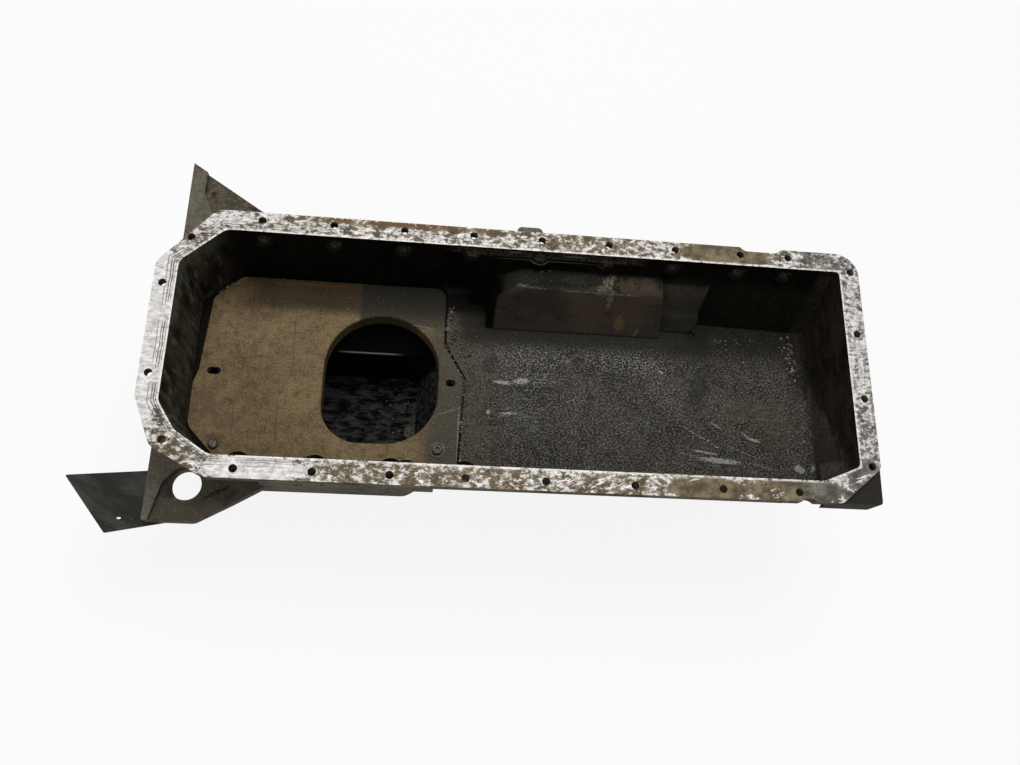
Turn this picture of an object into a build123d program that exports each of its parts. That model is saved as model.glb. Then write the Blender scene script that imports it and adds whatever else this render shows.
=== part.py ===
"""Cast aluminium engine oil pan with a steel baffle plate over its deep sump.

Frame: the origin lies in the gasket face, at the centre of the rail's outline.
+X runs to the shallow end, +Y to the side with the raised bulge, +Z up out of the opening.
All sizes are in millimetres.
"""
from build123d import *
import math
import os

os.makedirs("parts", exist_ok=True)

# Rail: the machined gasket face round the opening. Each cut is (along X, along Y) from its corner
rail_length = 640.0
rail_breadth = 240.6
rail_width = 19.0
rail_thickness = 10.0
rail_near_left_cut = (62.0, 65.0)
rail_near_left_knee = (17.0, 24.0)
rail_near_right_cut = (38.0, 32.0)
rail_far_left_cut = (46.0, 54.0)
rail_radii = [20, 12, 20, 8, 8, 22, 14, 14]
opening_near_left_cut = (45.0, 43.0)
opening_near_left_knee = (16.0, 19.0)
opening_near_right_cut = (34.0, 14.0)
opening_far_left_cut = (36.0, 33.0)
opening_radii = [12, 10, 12, 6, 6, 4, 12, 12]
notch_from_end = 95.0
notch_length = 44.0
notch_width = 20.0
notch_depth = 4.0
scallop_from_end = 69.0
scallop_radius = 9.0
scallop_depth = 3.0
far_lug_start = 325.0
far_lug_length = 24.0
far_lug_width = 10.0
far_lug_drop = 1.0

# Bolts of the rail
bolt_hole_diameter = 7.0
bolt_inset = 8.0
bolt_pitch = 62.8
first_bolt = 85.0
far_row_count = 8
far_last_bolt = 68.6
near_row_count = 4
near_right_bolts = (299.0, 222.6, 145.3, 77.3)
end_row_count = 4
end_first_bolt = 18.7
housing_end_bolts = (46.7, -34.8)
corner_bolt_x = 26.5
corner_bolt_far = 28.8
corner_bolt_near = 29.4
boss_radius = 11.0
boss_shift = 7.0
boss_top = 7.0
boss_crown = 9.0
boss_crown_taper = 38.0
boss_depth = 27.0

# Tub: side walls and shallow floor
wall = 4.5
floor_thickness = 4.5
sump_floor_thickness = 8.0
shallow_depth = 88.0
wall_draft = 1.0
floor_fillet = 9.0

# Deep sump at the left end
sump_depth = 200.0
shelf_depth = 125.0
sump_toe = 32.0
end_seat = 12.0
side_seat = 10.0
sump_shelf_y = 38.0
sump_corner = 14.0
sump_draft = 4.0
sump_edge_radius = 8.0
corner_cut = 22.0
near_corner_cut = 38.0
shelf_end_inset = 16.0
rebate_depth = 2.5
fin_count = 7
fin_pitch = 16.0
fin_height = 7.0
fin_thickness = 4.0
fin_end_inset = 16.0
fin_rise = 46.0

# Near wall of the sump, which bulges out under the rail
undercut_from_left = 98.0
undercut_length = 150.0
undercut_inset = 7.0
undercut_shoulder = 8.0
undercut_foot = 62.0
undercut_ribs = (109.0, 130.0)
undercut_rib_radius = 4.0
undercut_rib_length = 36.0

# Baffle plate
baffle_thickness = 2.0
baffle_boss_radius = 9.0
baffle_boss_depth = 36.0
baffle_boss_taper = 2.0
baffle_end_gap = 2.5
baffle_far_gap = 4.3
baffle_near_gap = 7.0
baffle_near_left_cut = (38.0, 40.0)
baffle_far_left_cut = (34.0, 24.0)
baffle_right_cut = (20.0, 34.0)
baffle_right_knee = 4.0
baffle_notches = (51.0, 117.0, 204.0)
baffle_notch_radius = 13.5
baffle_notch_depth = 15.8
baffle_gap = 2.4
mouth_from_left = 121.0
mouth_length = 109.0
mouth_breadth = 128.0
mouth_near_left_radius = 36.0
mouth_near_right_radius = 50.0
mouth_far_gap = 1.0
mouth_border = 24.0
collar_depth = 19.0
collar_bend = 1.8
slot_width = 7.0
slot_lengths = (12.5, 9.5)
slot_from_left = 20.0
slot_from_plate_end = 12.0
slot_hole_diameter = 6.8
screw_from_left = 28.0
screw_from_plate_end = 22.0
screw_places_from_near = (29.3, 33.3)
screw_hole_diameter = 5.0
screw_clearance = 0.1
screw_length = 12.0
screw_hole_spare = 4.0
dome_diameter = 9.5
dome_height = 3.4
dome_radius = 2.8
cheese_head_diameter = 10.0
cheese_head_height = 3.6
cheese_head_edge = 1.2
socket_radius = 2.4
socket_depth = 2.0
washer_diameter = 15.5
washer_thickness = 1.2

# Forms that stand into the tub from its far wall: the slope, the bulge and the step
slope_ledge = 1.0
slope_foot_left = 20.0
slope_foot_right = 32.0
bulge_from_plate = 20.0
bulge_length = 164.0
bulge_height = 61.5
bulge_corner = 40.0
bulge_end_slope = 13.0
bulge_end_radius = 6.0
bulge_ledge = 22.0
bulge_foot = 46.0
bulge_edge = 10.0
step_length = 46.0
step_height = 24.0
step_ledge = 30.0
step_foot = 37.0
dimple_radius = 4.5
dimple_depth = 3.0
dimple_height = 10.0

# Bell-housing flange and ears at the left end
ear_top = 66.0
ear_rim = 6.0
web_thickness = 10.0
plate_thickness = 14.0
housing_radius = 238.0
housing_rim = 27.0
housing_side_rim = 14.0
housing_axis_height = 55.0
housing_pocket = 5.0
housing_corner = 14.0
housing_pocket_corner = 6.0
housing_hole_diameter = 12.5
housing_hole_inset = 13.0
housing_hole_angles = (-38, -75, -90, -105)
far_ear_reach = 205.0
near_ear_beyond_plate = 64.8
near_ear_width = 42.0
housing_side_land = 23.0
ear_knee = (30.0, 17.0)
near_web_foot = 118.0
far_web_foot = 160.0
rim_foot = 50.0
rim_bend = (27.0, 50.0)
ear_hole_diameter = 27.0
ear_hole_x_from_left = 32.0
ear_hole_from_tip = 32.5
tie_rib_places = (-64.0, -16.0, 30.0)
tie_rib_thickness = 8.0
ear_rib_from_tip = 48.0
ear_rib_thickness = 7.0
ear_rib_length = 66.0

# Lug under the rail's cut corner at the near right
corner_lug_length = 46.0
corner_lug_breadth = 48.0
corner_lug_height = 24.0
corner_lug_reach = 3.0

# Ribs under the shallow floor
floor_rib_places = (-66.0, -22.0, 22.0)
floor_rib_thickness = 6.0
floor_rib_height = 4.0
floor_rib_start = 20.0

# Shield sheet under the near ear
shield_thickness = 2.0
shield_reach = 76.0
shield_screw_diameter = 6.0
shield_screw_length = 9.0
shield_screw_spare = 1.0
shield_hole_diameter = 4.5
shield_head_height = 4.0
shield_head_across_flats = 10.0
shield_clearance = 4.0

# Drain
drain_thread_diameter = 16.0
drain_boss_diameter = 34.0
drain_boss_height = 5.0
drain_from_left = 130.0
drain_above_floor = 24.0
drain_washer_diameter = 24.0
drain_washer_thickness = 1.5
drain_head_across_flats = 19.0
drain_head_height = 9.0
drain_flange_thickness = 2.5
drain_flange_inset = 0.5
drain_plug_length = 16.0

# Places that follow from the sizes above
left = -rail_length / 2
right = rail_length / 2
near = -rail_breadth / 2
far = rail_breadth / 2
in_left = left + rail_width
in_right = right - rail_width
in_near = near + rail_width
in_far = far - rail_width
mouth_left = in_left + mouth_from_left
mouth_right = mouth_left + mouth_length
plate_right = mouth_right + mouth_border
floor_level = -shallow_depth
floor_under = floor_level - floor_thickness
seat_level = floor_level - rebate_depth
sump_left = in_left + end_seat
sump_right = plate_right - end_seat
sump_near = in_near + side_seat
sump_far = in_far - side_seat
sump_foot = sump_right - sump_toe
sump_under = -sump_depth - sump_floor_thickness
plate_left = in_left + baffle_end_gap
undercut_start = left + undercut_from_left
undercut_y = near + undercut_inset
undercut_slope = (sump_near - wall - undercut_y) / (shelf_depth - undercut_foot)
undercut_seat_y = undercut_y + wall - (undercut_foot + seat_level) * undercut_slope
slope_start = plate_right + 2 * baffle_gap
bulge_left = plate_right + bulge_from_plate
bulge_right = bulge_left + bulge_length
bulge_top = floor_level + bulge_height
step_right = bulge_right + step_length
step_top = floor_level + step_height
form_foot = floor_under - 1
form_back = far + rail_width
web_top = -ear_top - ear_rim
ear_slope = (far_ear_reach - in_far) / far_web_foot
shield_top = web_top - web_thickness
housing_hole_radius = housing_radius - housing_hole_inset
housing_holes = []
for angle in housing_hole_angles:
    turn = math.radians(angle)
    housing_holes.append((housing_hole_radius * math.cos(turn),
                          housing_axis_height + housing_hole_radius * math.sin(turn)))
near_cut = housing_side_land - min(y for y, z in housing_holes)
near_ear_reach = near_cut + near_ear_beyond_plate
ear_hole_x = left + ear_hole_x_from_left
ear_hole_y = -near_ear_reach + ear_hole_from_tip
shield_screws = [(left + 8, -near_ear_reach + 22), (left + 36, -near_ear_reach + 10)]
drain_x = left + drain_from_left
drain_z = -sump_depth + drain_above_floor
drain_face_y = sump_shelf_y + wall + drain_boss_height

# Bolt holes of the rail: the long rows have bosses that lean into the tub, the ends have none
far_row = [left + first_bolt + i * bolt_pitch for i in range(far_row_count)] + [right - far_last_bolt]
near_row = [left + first_bolt + i * bolt_pitch for i in range(near_row_count)]
near_row += [right - place for place in near_right_bolts]
row_bolts = [(x, far - bolt_inset, -1) for x in far_row]
row_bolts += [(x, near + bolt_inset, 1) for x in near_row]
rail_bolts = [(x, y) for x, y, lean in row_bolts]
rail_bolts += [(right - bolt_inset, far - end_first_bolt - i * bolt_pitch) for i in range(end_row_count)]
rail_bolts += [(left + bolt_inset, y) for y in housing_end_bolts]
rail_bolts += [(left + corner_bolt_x, far - corner_bolt_far), (left + corner_bolt_x, near + corner_bolt_near)]

# Outline of the rail, with a rounded corner at the far right and cut corners elsewhere
with BuildSketch() as rail_outline:
    with BuildLine():
        FilletPolyline(
            (left, near + rail_near_left_cut[1]),
            (left + rail_near_left_knee[0], near + rail_near_left_knee[1]),
            (left + rail_near_left_cut[0], near),
            (right - rail_near_right_cut[0], near),
            (right, near + rail_near_right_cut[1]),
            (right, far),
            (left + rail_far_left_cut[0], far),
            (left, far - rail_far_left_cut[1]),
            radius=rail_radii,
            close=True,
        )
    make_face()

# Outline of the opening inside the rail
with BuildSketch() as opening_outline:
    with BuildLine():
        FilletPolyline(
            (in_left, in_near + opening_near_left_cut[1]),
            (in_left + opening_near_left_knee[0], in_near + opening_near_left_knee[1]),
            (in_left + opening_near_left_cut[0], in_near),
            (in_right - opening_near_right_cut[0], in_near),
            (in_right, in_near + opening_near_right_cut[1]),
            (in_right, in_far),
            (in_left + opening_far_left_cut[0], in_far),
            (in_left, in_far - opening_far_left_cut[1]),
            radius=opening_radii,
            close=True,
        )
    make_face()

# Outline of the baffle plate, which keeps clear of the tub walls
plate_far = in_far - baffle_far_gap
plate_near = in_near + baffle_near_gap
with BuildSketch() as baffle_outline:
    with BuildLine():
        FilletPolyline(
            (plate_left, plate_near + baffle_near_left_cut[1]),
            (plate_left + baffle_near_left_cut[0], plate_near),
            (plate_right - baffle_right_knee, plate_near),
            (plate_right, baffle_right_knee),
            (plate_right - baffle_right_cut[0], baffle_right_knee + baffle_right_cut[1]),
            (plate_right - baffle_right_cut[0], plate_far),
            (plate_left + baffle_far_left_cut[0], plate_far),
            (plate_left + 9, plate_far - baffle_far_left_cut[1]),
            (plate_left + 4, 0),
            (plate_left, -13),
            radius=[14, 10, 3, 6, 6, 10, 12, 10, 6, 6],
            close=True,
        )
    make_face()

# Large opening of the baffle: a rounded outline, fuller at its near left corner
mouth_far = mouth_breadth / 2
mouth_far_radius = (mouth_length - mouth_far_gap) / 2
with BuildSketch() as mouth_outline:
    with BuildLine():
        FilletPolyline(
            (mouth_left, -mouth_far),
            (mouth_right, -mouth_far),
            (mouth_right, mouth_far),
            (mouth_left, mouth_far),
            radius=[mouth_near_left_radius, mouth_near_right_radius, mouth_far_radius, mouth_far_radius],
            close=True,
        )
    make_face()

# Fixing points of the baffle: two hold screws, two are empty slots
screw_places = [(in_left + screw_from_left, in_near + screw_places_from_near[0]),
                (plate_right - screw_from_plate_end, in_near + screw_places_from_near[1])]
slot_places = [(in_left + slot_from_left, -1), (plate_right - slot_from_plate_end, -1)]

# Outline of the ears seen from above; the web fills it and the tub stands on it
with BuildSketch() as ear_outline:
    with BuildLine():
        FilletPolyline(
            (left, -near_ear_reach),
            (left + near_ear_width, -near_ear_reach),
            (left + near_ear_width + ear_knee[0], -near_ear_reach + ear_knee[1]),
            (left + near_web_foot, in_near),
            (left + far_web_foot, in_far),
            (left, far_ear_reach),
            radius=[2, 12, 20, 0, 0, 2],
            close=True,
        )
    make_face()

# Places of the bosses under the long bolt rows
with BuildSketch() as boss_circles:
    with Locations(*[(x, y + lean * boss_shift) for x, y, lean in row_bolts]):
        Circle(boss_radius)

# Slope, bulge and step on the far wall. The first form is their inside face. The second lies
# a wall's thickness behind it, and hollows the casting from outside
far_forms = []
for skin in (0, wall):
    with BuildPart() as slope_form:
        with BuildSketch(Plane.YZ.offset(slope_start + skin)):
            with BuildLine():
                Polyline(
                    (in_far - slope_foot_left + skin, form_foot),
                    (in_far - slope_ledge + skin, -rail_thickness),
                    (form_back, -rail_thickness),
                    (form_back, form_foot),
                    close=True,
                )
            make_face()
        with BuildSketch(Plane.YZ.offset(right + wall)):
            with BuildLine():
                Polyline(
                    (in_far - slope_foot_right + skin, form_foot),
                    (in_far - slope_ledge + skin, -rail_thickness),
                    (form_back, -rail_thickness),
                    (form_back, form_foot),
                    close=True,
                )
            make_face()
        loft()
    with BuildPart() as bulge_form:
        with BuildSketch(Plane.XZ.offset(-form_back)):
            with BuildLine():
                FilletPolyline(
                    (bulge_left + skin, form_foot),
                    (bulge_left + skin, bulge_top - skin),
                    (bulge_right - skin, bulge_top - skin),
                    (bulge_right + bulge_end_slope - skin, form_foot),
                    radius=[0, bulge_corner - skin, bulge_end_radius, 0],
                    close=True,
                )
            make_face()
        extrude(amount=rail_breadth / 2)
        with BuildSketch(Plane.YZ.offset(bulge_left)):
            with BuildLine():
                FilletPolyline(
                    (in_far - bulge_foot + skin, form_foot),
                    (in_far - bulge_ledge + skin, bulge_top - skin),
                    (form_back, bulge_top - skin),
                    (form_back, form_foot),
                    radius=[0, bulge_edge, 0, 0],
                    close=True,
                )
            make_face()
        extrude(amount=bulge_length + bulge_end_slope, mode=Mode.INTERSECT)
    with BuildPart() as step_form:
        with BuildSketch(Plane.YZ.offset(bulge_right - bulge_end_radius - skin)):
            with BuildLine():
                Polyline(
                    (in_far - step_foot + skin, form_foot),
                    (in_far - step_ledge + skin, step_top - skin),
                    (form_back, step_top - skin),
                    (form_back, form_foot),
                    close=True,
                )
            make_face()
        extrude(amount=step_length + bulge_end_radius)
    far_forms.append([slope_form, bulge_form, step_form])

# Inside of the pan, as one core: the tub, less the forms on its far wall, plus the sump
with BuildPart() as core:
    with BuildSketch():
        add(opening_outline.sketch)
    extrude(amount=-shallow_depth, taper=wall_draft)
    fillet(core.faces().sort_by(Axis.Z)[0].edges(), radius=floor_fillet)

    # Undercut behind the near rail, beside the deep sump
    with BuildSketch(Plane.YZ.offset(undercut_start + wall)):
        with BuildLine():
            Polyline(
                (in_near + wall, -boss_depth + undercut_inset),
                (undercut_y + wall, -boss_depth - 1),
                (undercut_y + wall, -undercut_foot),
                (undercut_seat_y, seat_level),
                (in_near + wall, seat_level),
                close=True,
            )
        make_face()
    extrude(amount=undercut_length - 2 * wall)

    for form in far_forms[0]:
        add(form.part, mode=Mode.SUBTRACT)

    # Dimple at the foot of the step's right end
    with BuildSketch(Plane.XY.offset(floor_level + dimple_height)):
        with Locations((step_right - 1, in_far - step_foot - 1)):
            Circle(dimple_radius)
    extrude(amount=-dimple_height - dimple_depth)

    # Seat of the baffle, a little lower than the shallow floor, with a gap along the plate
    with BuildSketch(Plane.XY.offset(seat_level)):
        offset(baffle_outline.sketch, amount=baffle_gap)
        with Locations((plate_right - baffle_right_cut[0] - baffle_right_knee, 0)):
            Rectangle(rail_length, rail_breadth, align=(Align.MAX, Align.CENTER))
        offset(opening_outline.sketch, amount=-baffle_gap, mode=Mode.INTERSECT)
    extrude(amount=rebate_depth + floor_fillet)

    # Chambers of the sump: a shelf chamber along the far wall and the deep chamber
    with BuildSketch(Plane.XY.offset(seat_level)):
        with BuildLine():
            FilletPolyline(
                (sump_left, 10),
                (sump_right - shelf_end_inset, 10),
                (sump_right - shelf_end_inset, sump_far),
                (sump_left + corner_cut, sump_far),
                (sump_left, sump_far - corner_cut),
                radius=[0, 0, sump_corner, sump_corner, sump_corner],
                close=True,
            )
        make_face()
    extrude(amount=-(shelf_depth + seat_level))
    with BuildSketch(Plane.XY.offset(seat_level)):
        with BuildLine():
            FilletPolyline(
                (sump_left, sump_near + near_corner_cut),
                (sump_left + near_corner_cut, sump_near),
                (sump_right, sump_near),
                (sump_right, sump_shelf_y),
                (sump_left, sump_shelf_y),
                radius=sump_corner,
                close=True,
            )
        make_face()
    with BuildSketch(Plane.XY.offset(-sump_depth)):
        with BuildLine():
            FilletPolyline(
                (sump_left + sump_draft, sump_near + near_corner_cut + sump_draft),
                (sump_left + near_corner_cut + sump_draft, sump_near + sump_draft),
                (sump_foot, sump_near + sump_draft),
                (sump_foot, sump_shelf_y - 1),
                (sump_left + sump_draft, sump_shelf_y - 1),
                radius=sump_corner,
                close=True,
            )
        make_face()
    loft()

with BuildPart() as pan_casting:
    # Outside of the tub, hollowed behind the slope, the bulge and the step
    with BuildSketch():
        add(opening_outline.sketch)
        offset(amount=wall)
    extrude(amount=floor_under, taper=wall_draft)
    for form in far_forms[1]:
        add(form.part, mode=Mode.SUBTRACT)

    # Outside of the deep sump: the shelf chamber and the deep chamber
    with BuildSketch(Plane.XY.offset(floor_level)):
        with BuildLine():
            FilletPolyline(
                (sump_left - wall, 0),
                (sump_right - shelf_end_inset + wall, 0),
                (sump_right - shelf_end_inset + wall, sump_far + wall),
                (sump_left + corner_cut - wall, sump_far + wall),
                (sump_left - wall, sump_far - corner_cut + wall),
                radius=[0, 0, sump_corner, sump_corner, sump_corner],
                close=True,
            )
        make_face()
    extrude(amount=-(shelf_depth + wall + floor_level))
    with BuildSketch(Plane.XY.offset(floor_level)):
        with BuildLine():
            FilletPolyline(
                (sump_left - wall, sump_near + near_corner_cut - 2),
                (sump_left + near_corner_cut - 2, sump_near - wall),
                (sump_right + wall, sump_near - wall),
                (sump_right + wall, sump_shelf_y + wall),
                (sump_left - wall, sump_shelf_y + wall),
                radius=sump_corner + wall,
                close=True,
            )
        make_face()
    with BuildSketch(Plane.XY.offset(sump_under)):
        with BuildLine():
            FilletPolyline(
                (sump_left - wall + sump_draft, sump_near + near_corner_cut),
                (sump_left + near_corner_cut, sump_near - wall + sump_draft),
                (sump_foot + wall, sump_near - wall + sump_draft),
                (sump_foot + wall, sump_shelf_y + wall - 1),
                (sump_left - wall + sump_draft, sump_shelf_y + wall - 1),
                radius=sump_corner + wall,
                close=True,
            )
        make_face()
    loft()
    fillet(pan_casting.faces().sort_by(Axis.Z)[0].edges(), radius=sump_edge_radius)

    # Rail with its notch, its lug and the scallop beside a bolt
    with BuildSketch():
        add(rail_outline.sketch)
        with Locations((right - notch_from_end, far + notch_width / 2 - notch_depth)):
            SlotOverall(notch_length, notch_width, mode=Mode.SUBTRACT)
        with Locations((right - scallop_from_end, near + scallop_depth - scallop_radius)):
            Circle(scallop_radius, mode=Mode.SUBTRACT)
    extrude(amount=-rail_thickness)
    with BuildSketch(Plane.XY.offset(-far_lug_drop)):
        with Locations((left + far_lug_start, far)):
            SlotOverall(far_lug_length, far_lug_width)
    extrude(amount=-boss_depth)

    # Bulged near wall of the sump, with two small ribs on it
    with BuildSketch(Plane.YZ.offset(undercut_start)):
        with BuildLine():
            Polyline(
                (in_near + wall, -rail_thickness + 1),
                (undercut_y + 3, -rail_thickness + 1),
                (undercut_y, -rail_thickness - undercut_shoulder),
                (undercut_y, -undercut_foot),
                (sump_near - wall, -shelf_depth),
                (sump_near, -shelf_depth),
                (sump_near, seat_level - wall),
                (in_near + wall, seat_level - wall),
                close=True,
            )
        make_face()
    extrude(amount=undercut_length)
    with BuildSketch(Plane.XY.offset(-rail_thickness + 1)):
        with Locations(*[(undercut_start + place, undercut_y) for place in undercut_ribs]):
            Circle(undercut_rib_radius)
    extrude(amount=-undercut_rib_length)

    # Bell-housing flange: a plate cut from a disc, with a shallow pocket for the flywheel
    with BuildSketch(Plane.YZ.offset(left)):
        with Locations((0, housing_axis_height)):
            Circle(housing_radius)
        with Locations((0, -ear_top)):
            Rectangle(2 * housing_radius, 2 * housing_radius, align=(Align.CENTER, Align.MIN),
                      mode=Mode.SUBTRACT)
        with Locations((-near_cut, 0)):
            Rectangle(housing_radius, 2 * housing_radius, align=(Align.MAX, Align.CENTER),
                      mode=Mode.SUBTRACT)
        fillet(vertices().sort_by(Axis.Y)[0], radius=housing_corner)
    extrude(amount=plate_thickness)
    with BuildSketch(Plane.YZ.offset(left)):
        with Locations((0, housing_axis_height)):
            Circle(housing_radius - housing_rim)
        with Locations((0, -ear_top - housing_side_rim)):
            Rectangle(2 * housing_radius, 2 * housing_radius, align=(Align.CENTER, Align.MIN),
                      mode=Mode.SUBTRACT)
        with Locations((-near_cut + housing_side_rim, 0)):
            Rectangle(housing_radius, 2 * housing_radius, align=(Align.MAX, Align.CENTER),
                      mode=Mode.SUBTRACT)
        fillet(vertices(), radius=housing_pocket_corner)
    extrude(amount=housing_pocket, mode=Mode.SUBTRACT)

    # Webs of the ears, and the raised rims along their housing side
    with BuildSketch(Plane.XY.offset(web_top)):
        add(ear_outline.sketch)
    extrude(amount=-web_thickness)
    with BuildSketch(Plane.XY.offset(-ear_top)):
        with BuildLine():
            FilletPolyline(
                (left, -near_ear_reach),
                (left + 5, -near_ear_reach),
                (left + 13, -near_ear_reach + 33),
                (left + rim_bend[0], -near_ear_reach + rim_bend[1]),
                (left + rim_foot, in_near - 2),
                (left + rim_foot, in_far),
                (left + 36, in_far + 24),
                (left + 17, far_ear_reach - 40),
                (left + 4, far_ear_reach - 6),
                (left, far_ear_reach),
                radius=[1, 2, 14, 14, 0, 0, 10, 20, 0, 0],
                close=True,
            )
        make_face()
    extrude(amount=-ear_rim - web_thickness)

    # Far tip of the plate, cut along the slanted side of the web
    with BuildSketch(Plane.XY.offset(-ear_top)):
        with BuildLine():
            Polyline(
                (left, far_ear_reach),
                (left + 2 * plate_thickness, far_ear_reach - 2 * plate_thickness * ear_slope),
                (left + 2 * plate_thickness, far_ear_reach + 1),
                (left, far_ear_reach + 1),
                close=True,
            )
        make_face()
    extrude(amount=-housing_radius, mode=Mode.SUBTRACT)

    # Ribs that tie the housing plate to the sump and the far ear
    rib_back = left + plate_thickness - 2
    for rib_y in tie_rib_places:
        with BuildSketch(Plane.XZ.offset(-rib_y)):
            with BuildLine():
                Polyline(
                    (rib_back, web_top),
                    (sump_left, web_top),
                    (sump_left, -shelf_depth - 30),
                    (rib_back, -shelf_depth - 14),
                    close=True,
                )
            make_face()
        extrude(amount=tie_rib_thickness / 2, both=True)
    with BuildSketch(Plane.XZ.offset(-(far_ear_reach - ear_rib_from_tip))):
        with BuildLine():
            Polyline(
                (rib_back, web_top - 2),
                (left + ear_rib_length, web_top - 2),
                (left + ear_rib_length - 6, shield_top - 4),
                (rib_back, shield_top - 37),
                close=True,
            )
        make_face()
    extrude(amount=ear_rib_thickness / 2, both=True)

    # Lug that fills the cut corner under the rail at the near right
    with BuildSketch(Plane.XY.offset(-boss_top)):
        with BuildLine():
            FilletPolyline(
                (right - corner_lug_length, near + 1),
                (right + corner_lug_reach - 1, near + 1),
                (right + corner_lug_reach, near + corner_lug_breadth),
                (right - bolt_inset - boss_top, near + corner_lug_breadth),
                radius=[0, 3, 2, 0],
                close=True,
            )
        make_face()
    extrude(amount=-corner_lug_height)

    # Stiffening ribs under the shallow floor, and cooling fins under the sump
    for rib_y in floor_rib_places:
        with BuildSketch(Plane.XZ.offset(-rib_y)):
            with BuildLine():
                Polyline(
                    (sump_right - floor_rib_start, floor_level - 1),
                    (in_right - floor_rib_start, floor_level - 1),
                    (in_right - floor_rib_start, floor_under - floor_rib_height),
                    (sump_right + 2 * floor_rib_start, floor_under - 3 * floor_rib_height),
                    (sump_right - floor_rib_start, -shelf_depth - 26),
                    close=True,
                )
            make_face()
        extrude(amount=floor_rib_thickness / 2, both=True)
    for fin in range(fin_count):
        with BuildSketch(Plane.XZ.offset(-(sump_near + (fin + 1) * fin_pitch))):
            with BuildLine():
                Polyline(
                    (sump_left + fin_end_inset, -sump_depth - 2),
                    (sump_foot, -sump_depth - 2),
                    (sump_foot + 8, -sump_depth + fin_rise),
                    (sump_foot + 18, -sump_depth + fin_rise),
                    (sump_foot + 15, -sump_depth),
                    (sump_foot + 12, sump_under - fin_height),
                    (sump_left + fin_end_inset + 6, sump_under - fin_height),
                    close=True,
                )
            make_face()
        extrude(amount=fin_thickness / 2, both=True)

    # Drain boss on the far wall of the deep chamber
    with BuildSketch(Plane.XZ.offset(-drain_face_y)):
        with Locations((drain_x, drain_z)):
            Circle(drain_boss_diameter / 2)
    extrude(amount=drain_face_y - sump_shelf_y)

    # Inside
    add(core.part, mode=Mode.SUBTRACT)

    # Bosses under the long bolt rows, with sloped crowns where they stand into the tub
    with BuildSketch(Plane.XY.offset(-boss_top - boss_crown)):
        add(boss_circles.sketch)
    extrude(amount=boss_crown, taper=boss_crown_taper)
    with BuildSketch(Plane.XY.offset(-boss_top - boss_crown)):
        add(boss_circles.sketch)
    extrude(amount=-(boss_depth - boss_top - boss_crown))

    # Bosses that carry the baffle
    with BuildSketch(Plane.XY.offset(seat_level)):
        with Locations(*(screw_places + slot_places)):
            Circle(baffle_boss_radius)
    extrude(amount=-baffle_boss_depth, taper=baffle_boss_taper)

    # Holes: rail bolts, baffle screws, empty slots, housing bolts, the ear's opening, the drain, the shield
    with Locations(*[(x, y, 0) for x, y in rail_bolts]):
        Hole(bolt_hole_diameter / 2, depth=boss_depth + boss_top)
    with Locations(*[(x, y, seat_level) for x, y in screw_places]):
        Hole(screw_hole_diameter / 2, depth=screw_length + screw_hole_spare)
    with Locations(*[(x, y, seat_level) for x, y in slot_places]):
        Hole(slot_hole_diameter / 2, depth=screw_length + screw_hole_spare)
    with Locations((ear_hole_x, ear_hole_y, -ear_top)):
        Hole(ear_hole_diameter / 2, depth=ear_hole_diameter)
    with BuildSketch(Plane.YZ.offset(left)):
        with Locations(*housing_holes):
            Circle(housing_hole_diameter / 2)
    extrude(amount=2 * plate_thickness, mode=Mode.SUBTRACT)
    with BuildSketch(Plane.XZ.offset(-drain_face_y)):
        with Locations((drain_x, drain_z)):
            Circle(drain_thread_diameter / 2)
    extrude(amount=2 * drain_plug_length, mode=Mode.SUBTRACT)
    with BuildSketch(Plane.XY.offset(shield_top)):
        with Locations(*shield_screws):
            Circle(shield_screw_diameter / 2)
    extrude(amount=shield_screw_length - shield_thickness + shield_screw_spare, mode=Mode.SUBTRACT)

# Baffle: a flat sheet with notches on its near edge and a drawn-down collar round its mouth
baffle_top = seat_level + baffle_thickness
with BuildPart() as baffle_plate:
    with BuildSketch(Plane.XY.offset(baffle_top)):
        add(baffle_outline.sketch)
        with Locations(*[(in_left + x, plate_near + baffle_notch_depth - baffle_notch_radius) for x in baffle_notches]):
            Circle(baffle_notch_radius, mode=Mode.SUBTRACT)
    extrude(amount=-baffle_thickness)
    with BuildSketch(Plane.XY.offset(baffle_top)):
        offset(mouth_outline.sketch, amount=baffle_thickness)
    extrude(amount=-collar_depth)
    with BuildSketch(Plane.XY.offset(baffle_top)):
        add(mouth_outline.sketch)
    extrude(amount=-collar_depth, mode=Mode.SUBTRACT)
    mouth_edges = baffle_plate.edges().filter_by_position(Axis.Z, baffle_top, baffle_top)
    fillet(
        mouth_edges.filter_by_position(Axis.X, mouth_left - 1, mouth_right + 1)
        .filter_by_position(Axis.Y, -mouth_far - 1, mouth_far + 1),
        radius=collar_bend,
    )
    with BuildSketch(Plane.XY.offset(baffle_top)):
        with Locations(*screw_places):
            Circle(screw_hole_diameter / 2 + screw_clearance)
        for place, length in zip(slot_places, slot_lengths):
            with Locations(place):
                SlotOverall(length, slot_width)
    extrude(amount=-baffle_thickness, mode=Mode.SUBTRACT)

# Domed screw at the near left of the baffle
with BuildPart() as baffle_screw_left:
    with BuildSketch(Plane.XY.offset(baffle_top)):
        with Locations(screw_places[0]):
            Circle(dome_diameter / 2)
    extrude(amount=dome_height)
    fillet(baffle_screw_left.edges().sort_by(Axis.Z)[-1], radius=dome_radius)
    with BuildSketch(Plane.XY.offset(baffle_top)):
        with Locations(screw_places[0]):
            Circle(screw_hole_diameter / 2 - screw_clearance)
    extrude(amount=-screw_length)

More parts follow.
